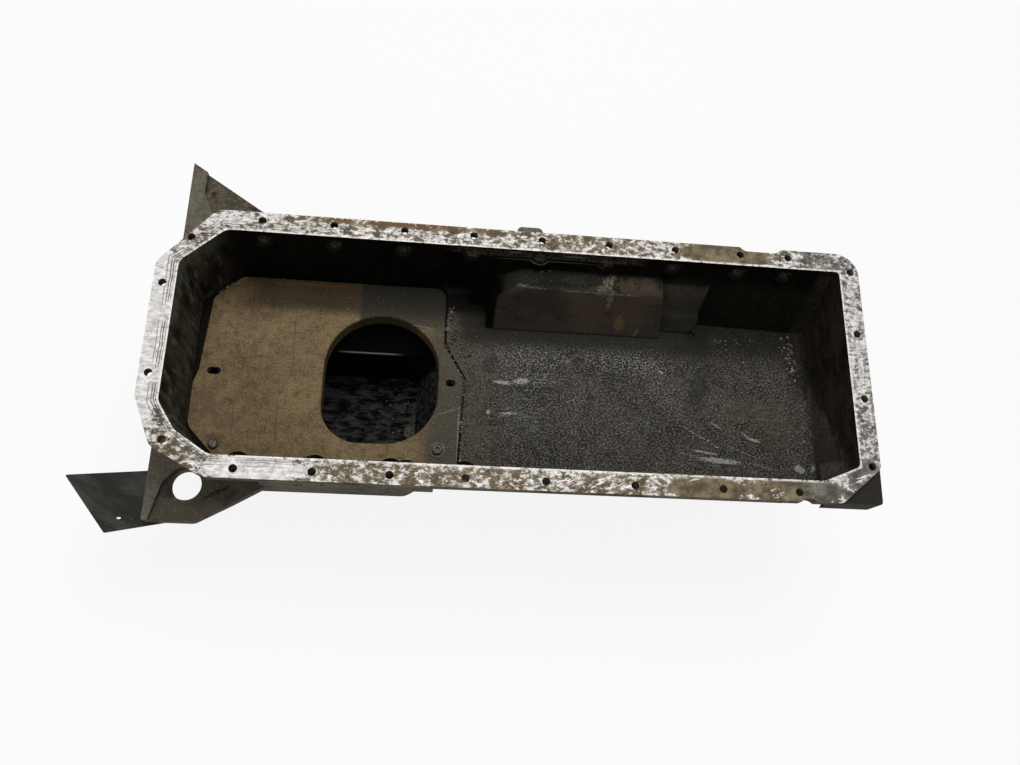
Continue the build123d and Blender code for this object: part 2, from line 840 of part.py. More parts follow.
# Cheese-head screw and its washer at the near right of the baffle
with BuildPart() as baffle_washer:
    with BuildSketch(Plane.XY.offset(baffle_top)):
        with Locations(screw_places[1]):
            Circle(washer_diameter / 2)
            Circle(screw_hole_diameter / 2 + screw_clearance, mode=Mode.SUBTRACT)
    extrude(amount=washer_thickness)
with BuildPart() as baffle_screw_right:
    with BuildSketch(Plane.XY.offset(baffle_top + washer_thickness)):
        with Locations(screw_places[1]):
            Circle(cheese_head_diameter / 2)
    extrude(amount=cheese_head_height)
    fillet(baffle_screw_right.edges().sort_by(Axis.Z)[-1], radius=cheese_head_edge)
    with BuildSketch(Plane.XY.offset(baffle_top + washer_thickness)):
        with Locations(screw_places[1]):
            Circle(screw_hole_diameter / 2 - screw_clearance)
    extrude(amount=-screw_length - washer_thickness)
    with BuildSketch(Plane.XY.offset(baffle_top + washer_thickness + cheese_head_height)):
        with Locations(screw_places[1]):
            RegularPolygon(socket_radius, 6)
    extrude(amount=-socket_depth, mode=Mode.SUBTRACT)

# Drain plug and its washer, in the far wall of the deep chamber
with BuildPart() as drain_washer:
    with BuildSketch(Plane.XZ.offset(-drain_face_y)):
        with Locations((drain_x, drain_z)):
            Circle(drain_washer_diameter / 2)
            Circle(drain_thread_diameter / 2, mode=Mode.SUBTRACT)
    extrude(amount=-drain_washer_thickness)
with BuildPart() as drain_plug:
    with BuildSketch(Plane.XZ.offset(-drain_face_y - drain_washer_thickness)):
        with Locations((drain_x, drain_z)):
            Circle(drain_washer_diameter / 2 - drain_flange_inset)
    extrude(amount=-drain_flange_thickness)
    with BuildSketch(Plane.XZ.offset(-drain_face_y - drain_washer_thickness - drain_flange_thickness)):
        with Locations((drain_x, drain_z)):
            RegularPolygon(drain_head_across_flats / 2, 6, major_radius=False)
    extrude(amount=-drain_head_height + drain_flange_thickness)
    with BuildSketch(Plane.XZ.offset(-drain_face_y - drain_washer_thickness)):
        with Locations((drain_x, drain_z)):
            Circle(drain_thread_diameter / 2 - screw_clearance)
    extrude(amount=drain_plug_length)

# Shield: a flat dark sheet screwed to the underside of the near ear
with BuildPart() as shield_plate:
    with BuildSketch(Plane.XY.offset(shield_top)):
        with BuildLine():
            FilletPolyline(
                (left - shield_reach, -near_cut - 6),
                (left - 33, -near_ear_reach - 11),
                (left + 46, -near_ear_reach + 6),
                (left + 48, -near_ear_reach + 20),
                (left + 14, -near_cut - 12),
                (left + 12, -near_cut - 1),
                (left - 4, -near_cut - 1),
                radius=[1.5, 1.5, 3, 3, 3, 1, 1],
                close=True,
            )
        make_face()
        with Locations((ear_hole_x, ear_hole_y)):
            Circle(ear_hole_diameter / 2 + shield_clearance, mode=Mode.SUBTRACT)
        with Locations(*shield_screws):
            Circle(shield_screw_diameter / 2 + screw_clearance, mode=Mode.SUBTRACT)
        with Locations((left - 23, -near_ear_reach + 3)):
            Circle(shield_hole_diameter / 2, mode=Mode.SUBTRACT)
    extrude(amount=-shield_thickness)

shield_bolts = []
for place in shield_screws:
    with BuildPart() as shield_bolt:
        with BuildSketch(Plane.XY.offset(shield_top - shield_thickness)):
            with Locations(place):
                RegularPolygon(shield_head_across_flats / 2, 6, major_radius=False)
        extrude(amount=-shield_head_height)
        with BuildSketch(Plane.XY.offset(shield_top - shield_thickness)):
            with Locations(place):
                Circle(shield_screw_diameter / 2 - screw_clearance)
        extrude(amount=shield_screw_length)
    shield_bolts.append(shield_bolt)

nodes = {
    "pan_casting": pan_casting,
    "baffle_plate": baffle_plate,
    "baffle_screw_left": baffle_screw_left,
    "baffle_washer": baffle_washer,
    "baffle_screw_right": baffle_screw_right,
    "drain_washer": drain_washer,
    "drain_plug": drain_plug,
    "shield_plate": shield_plate,
    "shield_bolt_outer": shield_bolts[0],
    "shield_bolt_inner": shield_bolts[1],
}
for node_name, node in nodes.items():
    node.part.label = node_name
    export_step(node.part, f"parts/{node_name}.step")
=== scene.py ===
"""Looks of a used cast aluminium engine oil pan: worn rail, oily tub, varnished baffle.

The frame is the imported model's, in metres. Materials are written in millimetres of that frame.
"""
import bmesh
import bpy
import math
import random
from mathutils import Matrix, Vector
from mathutils.geometry import tessellate_polygon


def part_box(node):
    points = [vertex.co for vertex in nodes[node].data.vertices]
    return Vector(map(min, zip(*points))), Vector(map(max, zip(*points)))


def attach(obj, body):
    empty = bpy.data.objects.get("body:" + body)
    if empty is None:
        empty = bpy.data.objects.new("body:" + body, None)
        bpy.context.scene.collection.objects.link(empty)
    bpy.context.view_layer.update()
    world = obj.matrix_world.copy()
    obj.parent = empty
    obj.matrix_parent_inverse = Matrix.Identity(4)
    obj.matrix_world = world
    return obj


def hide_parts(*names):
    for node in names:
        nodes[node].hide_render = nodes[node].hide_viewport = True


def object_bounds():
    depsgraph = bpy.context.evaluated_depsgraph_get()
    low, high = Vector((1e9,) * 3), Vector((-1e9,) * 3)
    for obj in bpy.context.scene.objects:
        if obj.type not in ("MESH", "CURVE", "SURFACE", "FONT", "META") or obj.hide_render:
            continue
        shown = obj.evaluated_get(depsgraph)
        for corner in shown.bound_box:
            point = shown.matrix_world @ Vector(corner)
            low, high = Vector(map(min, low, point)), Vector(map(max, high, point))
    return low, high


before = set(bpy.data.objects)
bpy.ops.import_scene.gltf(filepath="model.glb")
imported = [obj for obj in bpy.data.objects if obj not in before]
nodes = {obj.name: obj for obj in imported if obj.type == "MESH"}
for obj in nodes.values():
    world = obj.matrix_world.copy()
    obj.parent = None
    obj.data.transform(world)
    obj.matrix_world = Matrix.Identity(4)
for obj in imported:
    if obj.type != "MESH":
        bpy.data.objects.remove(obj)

cad_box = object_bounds()

MM = 0.001
FLOOR_LEVEL = -88.0


class Paint:
    """One node-built material, with short names for the nodes that paint it."""

    def __init__(self, name):
        self.material = bpy.data.materials.new(name)
        self.material.use_nodes = True
        self.tree = self.material.node_tree
        self.tree.nodes.clear()
        output = self.tree.nodes.new("ShaderNodeOutputMaterial")
        self.shader = self.tree.nodes.new("ShaderNodeBsdfPrincipled")
        self.link(self.shader.outputs[0], output.inputs[0])
        coordinates = self.tree.nodes.new("ShaderNodeTexCoord")
        scaled = self.tree.nodes.new("ShaderNodeVectorMath")
        scaled.operation = "SCALE"
        scaled.inputs["Scale"].default_value = 1 / MM
        self.link(coordinates.outputs["Object"], scaled.inputs[0])
        self.place = scaled.outputs[0]
        split = self.tree.nodes.new("ShaderNodeSeparateXYZ")
        self.link(self.place, split.inputs[0])
        self.x, self.y, self.z = split.outputs
        geometry = self.tree.nodes.new("ShaderNodeNewGeometry")
        facing = self.tree.nodes.new("ShaderNodeSeparateXYZ")
        self.link(geometry.outputs["Normal"], facing.inputs[0])
        self.facing_x, self.facing_y, self.facing_z = facing.outputs

    def link(self, output, socket):
        self.tree.links.new(output, socket)

    def feed(self, socket, value):
        """Links an output to a socket, or writes a plain value there."""
        if isinstance(value, bpy.types.NodeSocket):
            self.link(value, socket)
        elif isinstance(value, tuple) and len(value) == 3 and socket.type == "RGBA":
            socket.default_value = (*value, 1)
        else:
            socket.default_value = value

    def calc(self, operation, *values):
        node = self.tree.nodes.new("ShaderNodeMath")
        node.operation = operation
        for socket, value in zip(node.inputs, values):
            self.feed(socket, value)
        return node.outputs[0]

    def vectors(self, operation, *values):
        """Calculates with vectors. A dot product gives a number, the rest gives a vector."""
        node = self.tree.nodes.new("ShaderNodeVectorMath")
        node.operation = operation
        for socket, value in zip(node.inputs, values):
            self.feed(socket, value)
        return node.outputs["Value" if operation == "DOT_PRODUCT" else "Vector"]

    def times(self, *values):
        result = values[0]
        for value in values[1:]:
            result = self.calc("MULTIPLY", result, value)
        return result

    def both(self, a, b):
        return self.calc("MAXIMUM", a, b)

    def inverse(self, value):
        return self.calc("SUBTRACT", 1.0, value)

    def stretched(self, stretch, shift=(0, 0, 0), turn=0.0):
        """The place, shrunk so that what is drawn on it comes out longer along the stretched axes."""
        node = self.tree.nodes.new("ShaderNodeMapping")
        node.vector_type = "TEXTURE"
        self.link(self.place, node.inputs["Vector"])
        node.inputs["Scale"].default_value = stretch
        node.inputs["Location"].default_value = shift
        node.inputs["Rotation"].default_value = (0, 0, math.radians(turn))
        return node.outputs[0]

    def noise(self, size, detail=4.0, roughness=0.55, stretch=(1, 1, 1), shift=(0, 0, 0), turn=0.0,
              bend=0.0):
        """Cloudy noise whose lumps are about size millimetres across."""
        node = self.tree.nodes.new("ShaderNodeTexNoise")
        self.link(self.stretched(stretch, shift, turn), node.inputs["Vector"])
        node.inputs["Scale"].default_value = 1 / size
        node.inputs["Detail"].default_value = detail
        node.inputs["Roughness"].default_value = roughness
        node.inputs["Distortion"].default_value = bend
        return node.outputs[0]

    def specks(self, size, stretch=(1, 1, 1), shift=(0, 0, 0)):
        """Distance to the nearest of scattered points about size millimetres apart, 0 at a point."""
        node = self.tree.nodes.new("ShaderNodeTexVoronoi")
        self.link(self.stretched(stretch, shift), node.inputs["Vector"])
        node.inputs["Scale"].default_value = 1 / size
        return node.outputs["Distance"]

    def beyond(self, corners):
        """Millimetres beyond the sides of a convex outline, given counter-clockwise. Negative inside it."""
        result = None
        for (x1, y1), (x2, y2) in zip(corners, corners[1:] + corners[:1]):
            length = math.hypot(x2 - x1, y2 - y1)
            normal = ((y2 - y1) / length, (x1 - x2) / length, 0)
            dot = self.vectors("DOT_PRODUCT", self.place, normal)
            side = self.calc("SUBTRACT", dot, normal[0] * x1 + normal[1] * y1)
            result = side if result is None else self.both(result, side)
        return result

    def step(self, value, low, high):
        """0 below low, 1 above high and smooth between. It falls instead where high is below low.

        A smooth step stays within its ends without a clamp, and a clamp for each is too much for Cycles.
        """
        node = self.tree.nodes.new("ShaderNodeMapRange")
        node.interpolation_type = "SMOOTHSTEP"
        node.clamp = False
        rising = high > low
        self.feed(node.inputs["Value"], value)
        node.inputs["From Min"].default_value = low if rising else high
        node.inputs["From Max"].default_value = high if rising else low
        node.inputs["To Min"].default_value = 0.0 if rising else 1.0
        node.inputs["To Max"].default_value = 1.0 if rising else 0.0
        return node.outputs[0]

    def mix(self, factor, a, b):
        node = self.tree.nodes.new("ShaderNodeMix")
        node.data_type = "RGBA"
        self.feed(node.inputs[0], factor)
        self.feed(node.inputs[6], a)
        self.feed(node.inputs[7], b)
        return node.outputs[2]

    def blend(self, factor, a, b):
        node = self.tree.nodes.new("ShaderNodeMix")
        node.data_type = "FLOAT"
        self.feed(node.inputs[0], factor)
        self.feed(node.inputs[2], a)
        self.feed(node.inputs[3], b)
        return node.outputs[0]

    def blot(self, x, y, length, width, angle=0.0, soft=0.6, ragged=None, upright=False):
        """An oval mark, 1 inside, seen from above, or from the front where upright is set.

        The square of the distance from its middle is 1 on its edge. Few nodes, because there are many marks.
        """
        edge = 1.0
        if angle == 0:
            scale = (2 / length, 0, 2 / width) if upright else (2 / length, 2 / width, 0)
            middle = (x, 0, y) if upright else (x, y, 0)
            back = tuple(-place * factor for place, factor in zip(middle, scale))
            from_middle = self.vectors("MULTIPLY_ADD", self.place, scale, back)
            square = self.vectors("DOT_PRODUCT", from_middle, from_middle)
        else:
            cos, sin = math.cos(math.radians(angle)), math.sin(math.radians(angle))
            parts = []
            for axis, factor in (((cos, sin), 2 / length), ((-sin, cos), 2 / width)):
                second = (0, axis[1] * factor) if upright else (axis[1] * factor, 0)
                dot = self.vectors("DOT_PRODUCT", self.place, (axis[0] * factor, *second))
                parts.append(self.calc("SUBTRACT", dot, (axis[0] * x + axis[1] * y) * factor))
            along, across = parts
            square = self.calc("MULTIPLY_ADD", along, along, self.times(across, across))
        if ragged is not None:
            square = self.calc("MULTIPLY_ADD", ragged, 4.0, square)
            edge += 2.0
        return self.step(square, edge, edge - soft)

    def blots(self, marks, **options):
        """Several oval marks: x, y, length, width and angle each."""
        result = None
        for mark in marks:
            shape = self.blot(*mark, **options)
            result = shape if result is None else self.both(result, shape)
        return result

    def band(self, value, low, high, soft):
        """1 between low and high, with soft ends."""
        return self.times(self.step(value, low - soft, low + soft),
                          self.step(value, high + soft, high - soft))

    def bump(self, *layers):
        """Stacks bump layers, each a height socket and its depth in millimetres."""
        normal = None
        for height, depth in layers:
            node = self.tree.nodes.new("ShaderNodeBump")
            node.inputs["Strength"].default_value = 1.0
            node.inputs["Distance"].default_value = depth * MM
            self.link(height, node.inputs["Height"])
            if normal is not None:
                self.link(normal, node.inputs["Normal"])
            normal = node.outputs[0]
        self.link(normal, self.shader.inputs["Normal"])

    def finish(self, colour, roughness, metallic, specular=0.5):
        self.shader.inputs["Specular IOR Level"].default_value = specular
        self.feed(self.shader.inputs["Base Color"], colour)
        self.feed(self.shader.inputs["Roughness"], roughness)
        self.feed(self.shader.inputs["Metallic"], metallic)
        return self.material


# Outlines seen from above, counter-clockwise, and the middle that the sump's inside faces
OPENING_OUTLINE = [(-301, -58), (-285, -82), (-256, -101.3), (267, -101.3), (301, -87), (301, 101.3),
                   (-265, 101.3), (-301, 68)]
BAFFLE_OUTLINE = [(-48.5, -92), (-46.6, 2), (-66.5, 40), (-66.5, 94), (-300, 94), (-300, -92)]
SUMP_MIDDLE = (-175, -20)


def cast_colour_outside(paint, coarse, fine):
    """Rough brown-grey casting with soot, rubbed lighter in places."""
    colour = paint.mix(paint.step(coarse, 0.36, 0.66), (0.056, 0.048, 0.033), (0.112, 0.094, 0.064))
    colour = paint.mix(paint.step(fine, 0.50, 0.72), colour, (0.18, 0.16, 0.12))
    soot = paint.noise(15, detail=5, shift=(40, 7, 3))
    colour = paint.mix(paint.step(soot, 0.54, 0.68), colour, (0.024, 0.021, 0.017))
    near_ear = paint.times(paint.step(paint.y, -98, -104), paint.step(paint.x, -200, -240))
    colour = paint.mix(paint.times(near_ear, 0.5), colour, (0.050, 0.046, 0.036))
    rubbed_rim = paint.times(paint.step(paint.z, -66.6, -66.2), paint.step(paint.facing_z, 0.8, 0.95),
                             paint.step(fine, 0.3, 0.5))
    colour = paint.mix(paint.times(rubbed_rim, 0.45), colour, (0.17, 0.155, 0.125))
    olive = paint.blots([(-258, -131, 26, 12, 25)], soft=0.8, ragged=soot)
    colour = paint.mix(paint.times(olive, 0.5), colour, (0.105, 0.090, 0.058))
    smear = paint.blots([(-260, -118.5, 24, 5, 28), (-266, -122, 12, 4, 28)], soft=0.7, ragged=fine)
    colour = paint.mix(paint.times(smear, 0.85), colour, (0.016, 0.014, 0.011))
    lug = paint.times(paint.step(paint.x, 268, 278), paint.step(paint.y, -66, -74),
                      paint.step(paint.z, -5, -6))
    return paint.mix(paint.times(lug, 0.9), colour, (0.015, 0.0135, 0.0115))


def cast_colour_walls(paint):
    """Oily walls: near black, greenish runs at the left end, the floor's tone low at the right end."""
    runs = paint.noise(10, detail=4, stretch=(1, 1, 5), bend=0.5)
    fine = paint.noise(2.2, detail=4, roughness=0.65, shift=(9, 3, 1))
    walls = paint.mix(paint.step(runs, 0.45, 0.72), (0.0012, 0.0011, 0.0006), (0.0045, 0.0038, 0.0024))
    lumps = paint.blots([(-233 + 62.8 * i, -10, 20, 9, 0) for i in range(8)] + [(253, -10, 20, 9, 0)],
                        soft=0.9, ragged=fine, upright=True)
    lumps = paint.times(lumps, paint.step(paint.y, 86, 92))
    walls = paint.mix(paint.times(lumps, paint.step(fine, 0.44, 0.60), 0.7), walls, (0.075, 0.060, 0.040))
    lip = paint.times(paint.step(paint.y, 92, 98), paint.band(paint.z, -12, -2, 1),
                      paint.band(paint.x, -66, 112, 8))
    walls = paint.mix(paint.times(lip, paint.step(fine, 0.40, 0.56), 0.8), walls, (0.056, 0.047, 0.034))
    lip_marks = paint.blots([(48, -7, 24, 5, 0), (22, -15, 120, 0.9, 0), (-8, -6, 14, 4, 0)],
                            soft=0.7, upright=True)
    walls = paint.mix(paint.times(lip_marks, paint.step(paint.y, 92, 98), 0.6), walls, (0.16, 0.15, 0.12))
    left_runs = paint.mix(paint.step(runs, 0.34, 0.60), (0.0060, 0.0042, 0.0020), (0.046, 0.042, 0.029))
    streaks = paint.noise(6, detail=5, roughness=0.65, stretch=(1, 1, 4), shift=(7, 2, 9))
    pale_runs = paint.times(paint.step(streaks, 0.52, 0.62), paint.step(runs, 0.40, 0.52))
    left_runs = paint.mix(paint.times(pale_runs, 0.7), left_runs, (0.140, 0.137, 0.103))
    upper = paint.times(paint.step(paint.z, -26, -8), paint.step(paint.y, 5, 40),
                        paint.step(streaks, 0.34, 0.52))
    left_runs = paint.mix(paint.times(upper, 0.85), left_runs, (0.098, 0.100, 0.080))
    lower = paint.times(paint.band(paint.z, -80, -38, 10), paint.band(paint.y, -72, 34, 16),
                        paint.step(streaks, 0.40, 0.56))
    left_runs = paint.mix(paint.times(lower, 0.75), left_runs, (0.068, 0.068, 0.048))
    left_runs = paint.mix(paint.times(paint.step(paint.z, -72, -88), 0.7), left_runs, (0.008, 0.006, 0.0035))
    reddish = paint.step(paint.noise(14, stretch=(1, 1, 3), shift=(3, 8, 1)), 0.52, 0.66)
    left_runs = paint.mix(paint.times(reddish, 0.7), left_runs, (0.022, 0.010, 0.005))
    walls = paint.mix(paint.step(paint.x, -258, -290), walls, left_runs)
    drag = paint.noise(15, detail=5, roughness=0.6, stretch=(1, 2.2, 1), shift=(2, 5, 4), bend=0.8)
    right_tone = paint.mix(paint.step(drag, 0.36, 0.64), (0.0075, 0.0062, 0.0038), (0.026, 0.0215, 0.0145))
    right_tone = paint.mix(paint.times(paint.step(fine, 0.52, 0.68), 0.6), right_tone, (0.044, 0.039, 0.029))

    # The right wall has the floor's tone below a slanted line that climbs towards the near corner
    line = paint.calc("SUBTRACT", paint.z, FLOOR_LEVEL)
    line = paint.calc("SUBTRACT", line, paint.times(paint.calc("SUBTRACT", 26.0, paint.y), 0.62))
    line = paint.calc("ADD", line, paint.times(paint.calc("SUBTRACT", drag, 0.5), 60.0))
    low_tone = paint.mix(paint.step(fine, 0.40, 0.62), (0.036, 0.032, 0.025), (0.092, 0.083, 0.068))
    right_tone = paint.mix(paint.step(line, 8, -10), right_tone, low_tone)
    walls = paint.mix(paint.step(paint.x, 282, 292), walls, right_tone)
    scrape = paint.times(paint.blot(299, -74, 3, 26, 4, soft=0.6), paint.step(fine, 0.36, 0.5))
    walls = paint.mix(paint.times(scrape, paint.step(paint.z, -76, -70), 0.7), walls, (0.22, 0.19, 0.18))
    near_tone = paint.times(paint.step(paint.y, -84, -90), paint.step(paint.x, -40, -30))
    near_colour = paint.mix(paint.step(fine, 0.42, 0.60), (0.036, 0.033, 0.028), (0.080, 0.074, 0.062))
    return paint.mix(near_tone, walls, near_colour)


def cast_colour_floor(paint):
    """Charcoal floor with light grain, crumbs, rubbed bright patches and a few scratches."""
    cloud = paint.noise(44, detail=5, bend=0.4)
    patchy = paint.noise(9, detail=5, roughness=0.65, shift=(17, 3, 0))
    grain = paint.noise(1.6, detail=3, roughness=0.74, stretch=(1.3, 1, 1))
    drag = paint.noise(2.4, detail=4, roughness=0.7, stretch=(4, 1, 1), shift=(3, 9, 0))
    flecks = paint.step(paint.specks(3.4, shift=(3, 1, 0)), 0.15, 0.05)
    ragged = paint.noise(7, detail=4, roughness=0.7, shift=(11, 5, 2))
    floor = paint.mix(paint.step(cloud, 0.36, 0.62), (0.017, 0.0155, 0.0125), (0.042, 0.0385, 0.0315))
    floor = paint.mix(paint.times(paint.step(patchy, 0.44, 0.66), 0.75), floor, (0.064, 0.0585, 0.048))
    floor = paint.mix(paint.times(paint.step(patchy, 0.46, 0.34), 0.7), floor, (0.0125, 0.0115, 0.0095))
    floor = paint.mix(paint.step(grain, 0.52, 0.61), floor, (0.140, 0.131, 0.110))
    floor = paint.mix(paint.times(paint.step(grain, 0.49, 0.41), 0.85), floor, (0.012, 0.011, 0.009))
    crumbled = paint.blots([(22, 32, 104, 34, 4), (112, 34, 116, 38, -5), (20, 8, 60, 24, 0)],
                           soft=0.9, ragged=ragged)
    crumbled = paint.both(crumbled, paint.times(paint.step(cloud, 0.48, 0.7), 0.35))
    floor = paint.mix(paint.times(crumbled, paint.step(grain, 0.53, 0.61)), floor, (0.27, 0.26, 0.235))
    floor = paint.mix(paint.times(flecks, paint.step(patchy, 0.42, 0.58)), floor, (0.30, 0.29, 0.26))
    striped = paint.blots([(212, -72, 120, 34, 0), (10, -30, 90, 60, 0)], soft=0.9, ragged=ragged)
    stripes = paint.times(striped, paint.step(drag, 0.54, 0.66))
    floor = paint.mix(paint.times(stripes, 0.55), floor, (0.15, 0.145, 0.13))
    brown = paint.blots([(242, -12, 84, 34, 0), (262, -28, 40, 46, 0)], soft=0.95, ragged=ragged)
    brown_tone = paint.mix(paint.step(drag, 0.38, 0.62), (0.038, 0.029, 0.018), (0.110, 0.088, 0.055))
    floor = paint.mix(paint.times(brown, 0.6), floor, brown_tone)
    tinted = paint.times(paint.step(paint.x, -2, -34), paint.step(patchy, 0.36, 0.54))
    floor = paint.mix(paint.times(tinted, 0.5), floor, (0.070, 0.056, 0.038))
    stained = paint.blots(
        [(-40, 70, 40, 46, 0), (-22, 20, 20, 26, 0), (188, 8, 22, 60, -25), (-6, 66, 60, 30, 10)],
        soft=0.9,
        ragged=ragged,
    )
    floor = paint.mix(paint.times(stained, 0.6), floor, (0.019, 0.019, 0.018))
    # Painted shade: the floor's far stretch, before the bulge and the far wall, is painted darker
    far_floor_shade = paint.times(paint.step(paint.y, 30, 49), paint.band(paint.x, -50, 200, 8))
    floor = paint.mix(paint.times(far_floor_shade, 0.85), floor, (0.0150, 0.0134, 0.0102))
    corner = paint.calc("ADD", paint.x, paint.times(paint.y, 0.5))
    shade = paint.both(
        paint.times(paint.step(paint.y, 18, 58), paint.step(paint.x, 140, 210)),
        paint.times(paint.step(corner, 284, 304), paint.step(paint.y, -10, 16)),
    )
    floor = paint.mix(paint.times(shade, 0.82), floor, (0.0085, 0.0074, 0.0055))
    # Near black: painted shade at the far left, in the corner by the far wall and the bulge's end; dark
    # joints in the seat under the baffle's edge and along its gap
    black = paint.both(
        paint.times(paint.step(paint.y, 66, 78), paint.step(paint.x, -10, -20)),
        paint.both(paint.times(paint.step(paint.z, -88.6, -89.2), paint.step(paint.x, -44, -48)),
                   paint.times(paint.step(paint.x, -40, -48), paint.step(paint.y, 52, 96), 0.7)),
    )
    from_baffle = paint.beyond(BAFFLE_OUTLINE)
    gap = paint.calc("ADD", from_baffle, paint.times(paint.calc("SUBTRACT", ragged, 0.5), 6.0))
    gap = paint.times(paint.step(gap, 3.4, 2.2), paint.step(from_baffle, -1.5, -0.5),
                      paint.step(paint.y, 44, 36))
    black = paint.both(black, paint.times(gap, 0.9))
    floor = paint.mix(paint.times(black, 0.95), floor, (0.0020, 0.0018, 0.0012))
    bare = paint.blots(
        [
            (-9, 2.4, 20, 4.4, -6), (10, 4.8, 17, 6.5, 12), (-22, -28.0, 5, 4, 30),
            (-2, -28.6, 20, 2.4, 3), (241, -43.5, 15, 2.6, -14), (233, -39, 12, 1.6, -35),
            (206, -66, 44, 6, -4), (190, -58, 30, 2.2, -8), (286, -71, 13, 8, -30),
            (299, -70, 9, 5, 60), (204, -31, 14, 1.3, -30), (150, 22, 10, 2, -40),
        ],
        soft=0.6,
        ragged=paint.noise(1.7, detail=4, roughness=0.75, shift=(8, 2, 1)),
    )
    bare = paint.times(bare, paint.blend(paint.step(grain, 0.42, 0.52), 0.35, 1.0))
    floor = paint.mix(bare, floor, (0.31, 0.30, 0.275))
    scratches = paint.blots(
        [(184, -41, 42, 1.3, -29), (203, -52.5, 6, 2.4, -29), (228, -56, 46, 0.9, -20),
         (176, -62, 34, 0.8, -14), (60, -12, 22, 0.7, 24), (248, -70, 40, 0.8, -12)],
        soft=0.6,
    )
    floor = paint.mix(paint.times(scratches, paint.step(grain, 0.42, 0.52), 0.8), floor, (0.28, 0.27, 0.25))

    # Bulge and step: dark brown, painted darker on top as shade and lighter at the front as light, with a
    # broken bright line along the ledge, a red and an orange stain and a tan patch
    raised = paint.times(paint.step(paint.z, -87.0, -84.5), paint.band(paint.x, -28, 186, 0.6))
    # Painted shade and light: the bulge's upward faces are painted darker as shade, its front faces lighter
    # as lit
    shaded_ledge_tone = paint.mix(paint.step(cloud, 0.35, 0.65), (0.0068, 0.0062, 0.0046), (0.0150, 0.0138, 0.0104))
    lit_front_tone = paint.mix(paint.step(cloud, 0.35, 0.65), (0.030, 0.0265, 0.0195), (0.054, 0.048, 0.036))
    upward = paint.step(paint.facing_z, 0.55, 0.90)
    raised_tone = paint.mix(upward, lit_front_tone, shaded_ledge_tone)
    raised_grain = paint.times(paint.step(grain, 0.54, 0.68), 0.5)
    raised_tone = paint.mix(raised_grain, raised_tone, (0.072, 0.066, 0.052))
    raised_dark = paint.times(paint.step(patchy, 0.46, 0.34), 0.5)
    raised_tone = paint.mix(raised_dark, raised_tone, (0.008, 0.007, 0.005))
    # Painted light: the front is painted lighter still towards its foot
    lit_low_front = paint.times(paint.step(paint.z, -66, -86), paint.inverse(upward))
    raised_tone = paint.mix(paint.times(lit_low_front, 0.7), raised_tone, (0.046, 0.041, 0.032))
    # Painted shade: the bulge's left end, in the corner by the far wall, is painted near black
    shaded_left_side = paint.both(paint.step(paint.facing_x, -0.45, -0.8), paint.step(paint.x, -17, -22))
    raised_tone = paint.mix(shaded_left_side, raised_tone, (0.0020, 0.0018, 0.0012))
    red = paint.blots([(112, 76, 58, 44, 6), (72, 68, 40, 30, 0)], soft=0.8, ragged=ragged)
    raised_tone = paint.mix(paint.times(red, 0.6), raised_tone, (0.072, 0.051, 0.034))
    orange = paint.blots([(104, 64, 12, 12, 0)], soft=0.8, ragged=ragged)
    raised_tone = paint.mix(paint.times(orange, 0.7), raised_tone, (0.125, 0.085, 0.043))
    tan = paint.blots([(84, 87, 12, 24, -24), (78, 80, 14, 9, 10), (88, 75, 7, 10, 8)], soft=0.5,
                      ragged=paint.noise(4, detail=4, roughness=0.7, shift=(2, 2, 8)))
    tan = paint.times(tan, paint.step(grain, 0.40, 0.52), 0.85)
    raised_tone = paint.mix(tan, raised_tone, (0.130, 0.122, 0.080))
    # A broken bright line along the ledge's edge, worn metal with a painted highlight, and a few small
    # bright marks
    lines = paint.blots(
        [(4, 79.5, 16, 2.6, -8), (12, 78.6, 34, 1.1, -2), (58, 77.8, 44, 0.9, 0), (103, 77.6, 36, 1.2, 0),
         (20, 96, 4, 9, 0), (28, 97, 5, 7, 0), (122, 58, 3, 10, -35)],
        soft=0.5,
    )
    lines = paint.times(lines, paint.step(grain, 0.44, 0.56), 0.75)
    raised_tone = paint.mix(lines, raised_tone, (0.17, 0.16, 0.135))
    floor = paint.mix(raised, floor, raised_tone)
    return floor, grain


def cast_colour_sump(paint, grain):
    """Sump: near black, its bottom mottled bluish, with glints, a crust and a painted highlight along the
    shelf's edge.
    """
    mottled = paint.noise(6, detail=5, roughness=0.7, stretch=(2.4, 1, 1), shift=(6, 1, 0))
    sump = paint.mix(paint.step(mottled, 0.42, 0.64), (0.0026, 0.0029, 0.0026), (0.044, 0.045, 0.042))
    bluish = paint.times(paint.step(grain, 0.60, 0.72), paint.step(mottled, 0.5, 0.6))
    sump = paint.mix(bluish, sump, (0.060, 0.064, 0.062))
    glints = paint.times(paint.step(paint.specks(4.6, shift=(7, 1, 2)), 0.16, 0.05),
                         paint.step(paint.x, -138, -112))
    sump = paint.mix(glints, sump, (0.30, 0.30, 0.28))
    crust = paint.blots([(-96, -22, 12, 18, 0), (-92, -36, 8, 10, 0)], soft=0.6, ragged=mottled)
    sump = paint.mix(paint.times(crust, paint.step(grain, 0.46, 0.6)), sump, (0.26, 0.24, 0.16))
    toe = paint.times(paint.step(paint.x, -106, -98), paint.step(paint.y, 34, 24))
    sump = paint.mix(paint.times(toe, paint.step(mottled, 0.42, 0.60)), sump, (0.060, 0.060, 0.054))
    steep = paint.times(paint.step(paint.facing_z, 0.7, 0.3), paint.inverse(toe))
    shelf = paint.both(paint.times(paint.step(paint.z, -132, -128), paint.inverse(toe)), steep)
    sump = paint.mix(shelf, sump, (0.0010, 0.0011, 0.0008))
    # Painted highlight along the shelf's edge
    bright_edge = paint.times(
        paint.band(paint.y, 37.0, 39.0, 0.5),
        paint.band(paint.z, -127.0, -124.0, 0.6),
        paint.band(paint.x, -168, -112, 8),
        paint.step(grain, 0.30, 0.44),
    )
    return paint.mix(paint.times(bright_edge, 0.8), sump, (0.15, 0.14, 0.11))


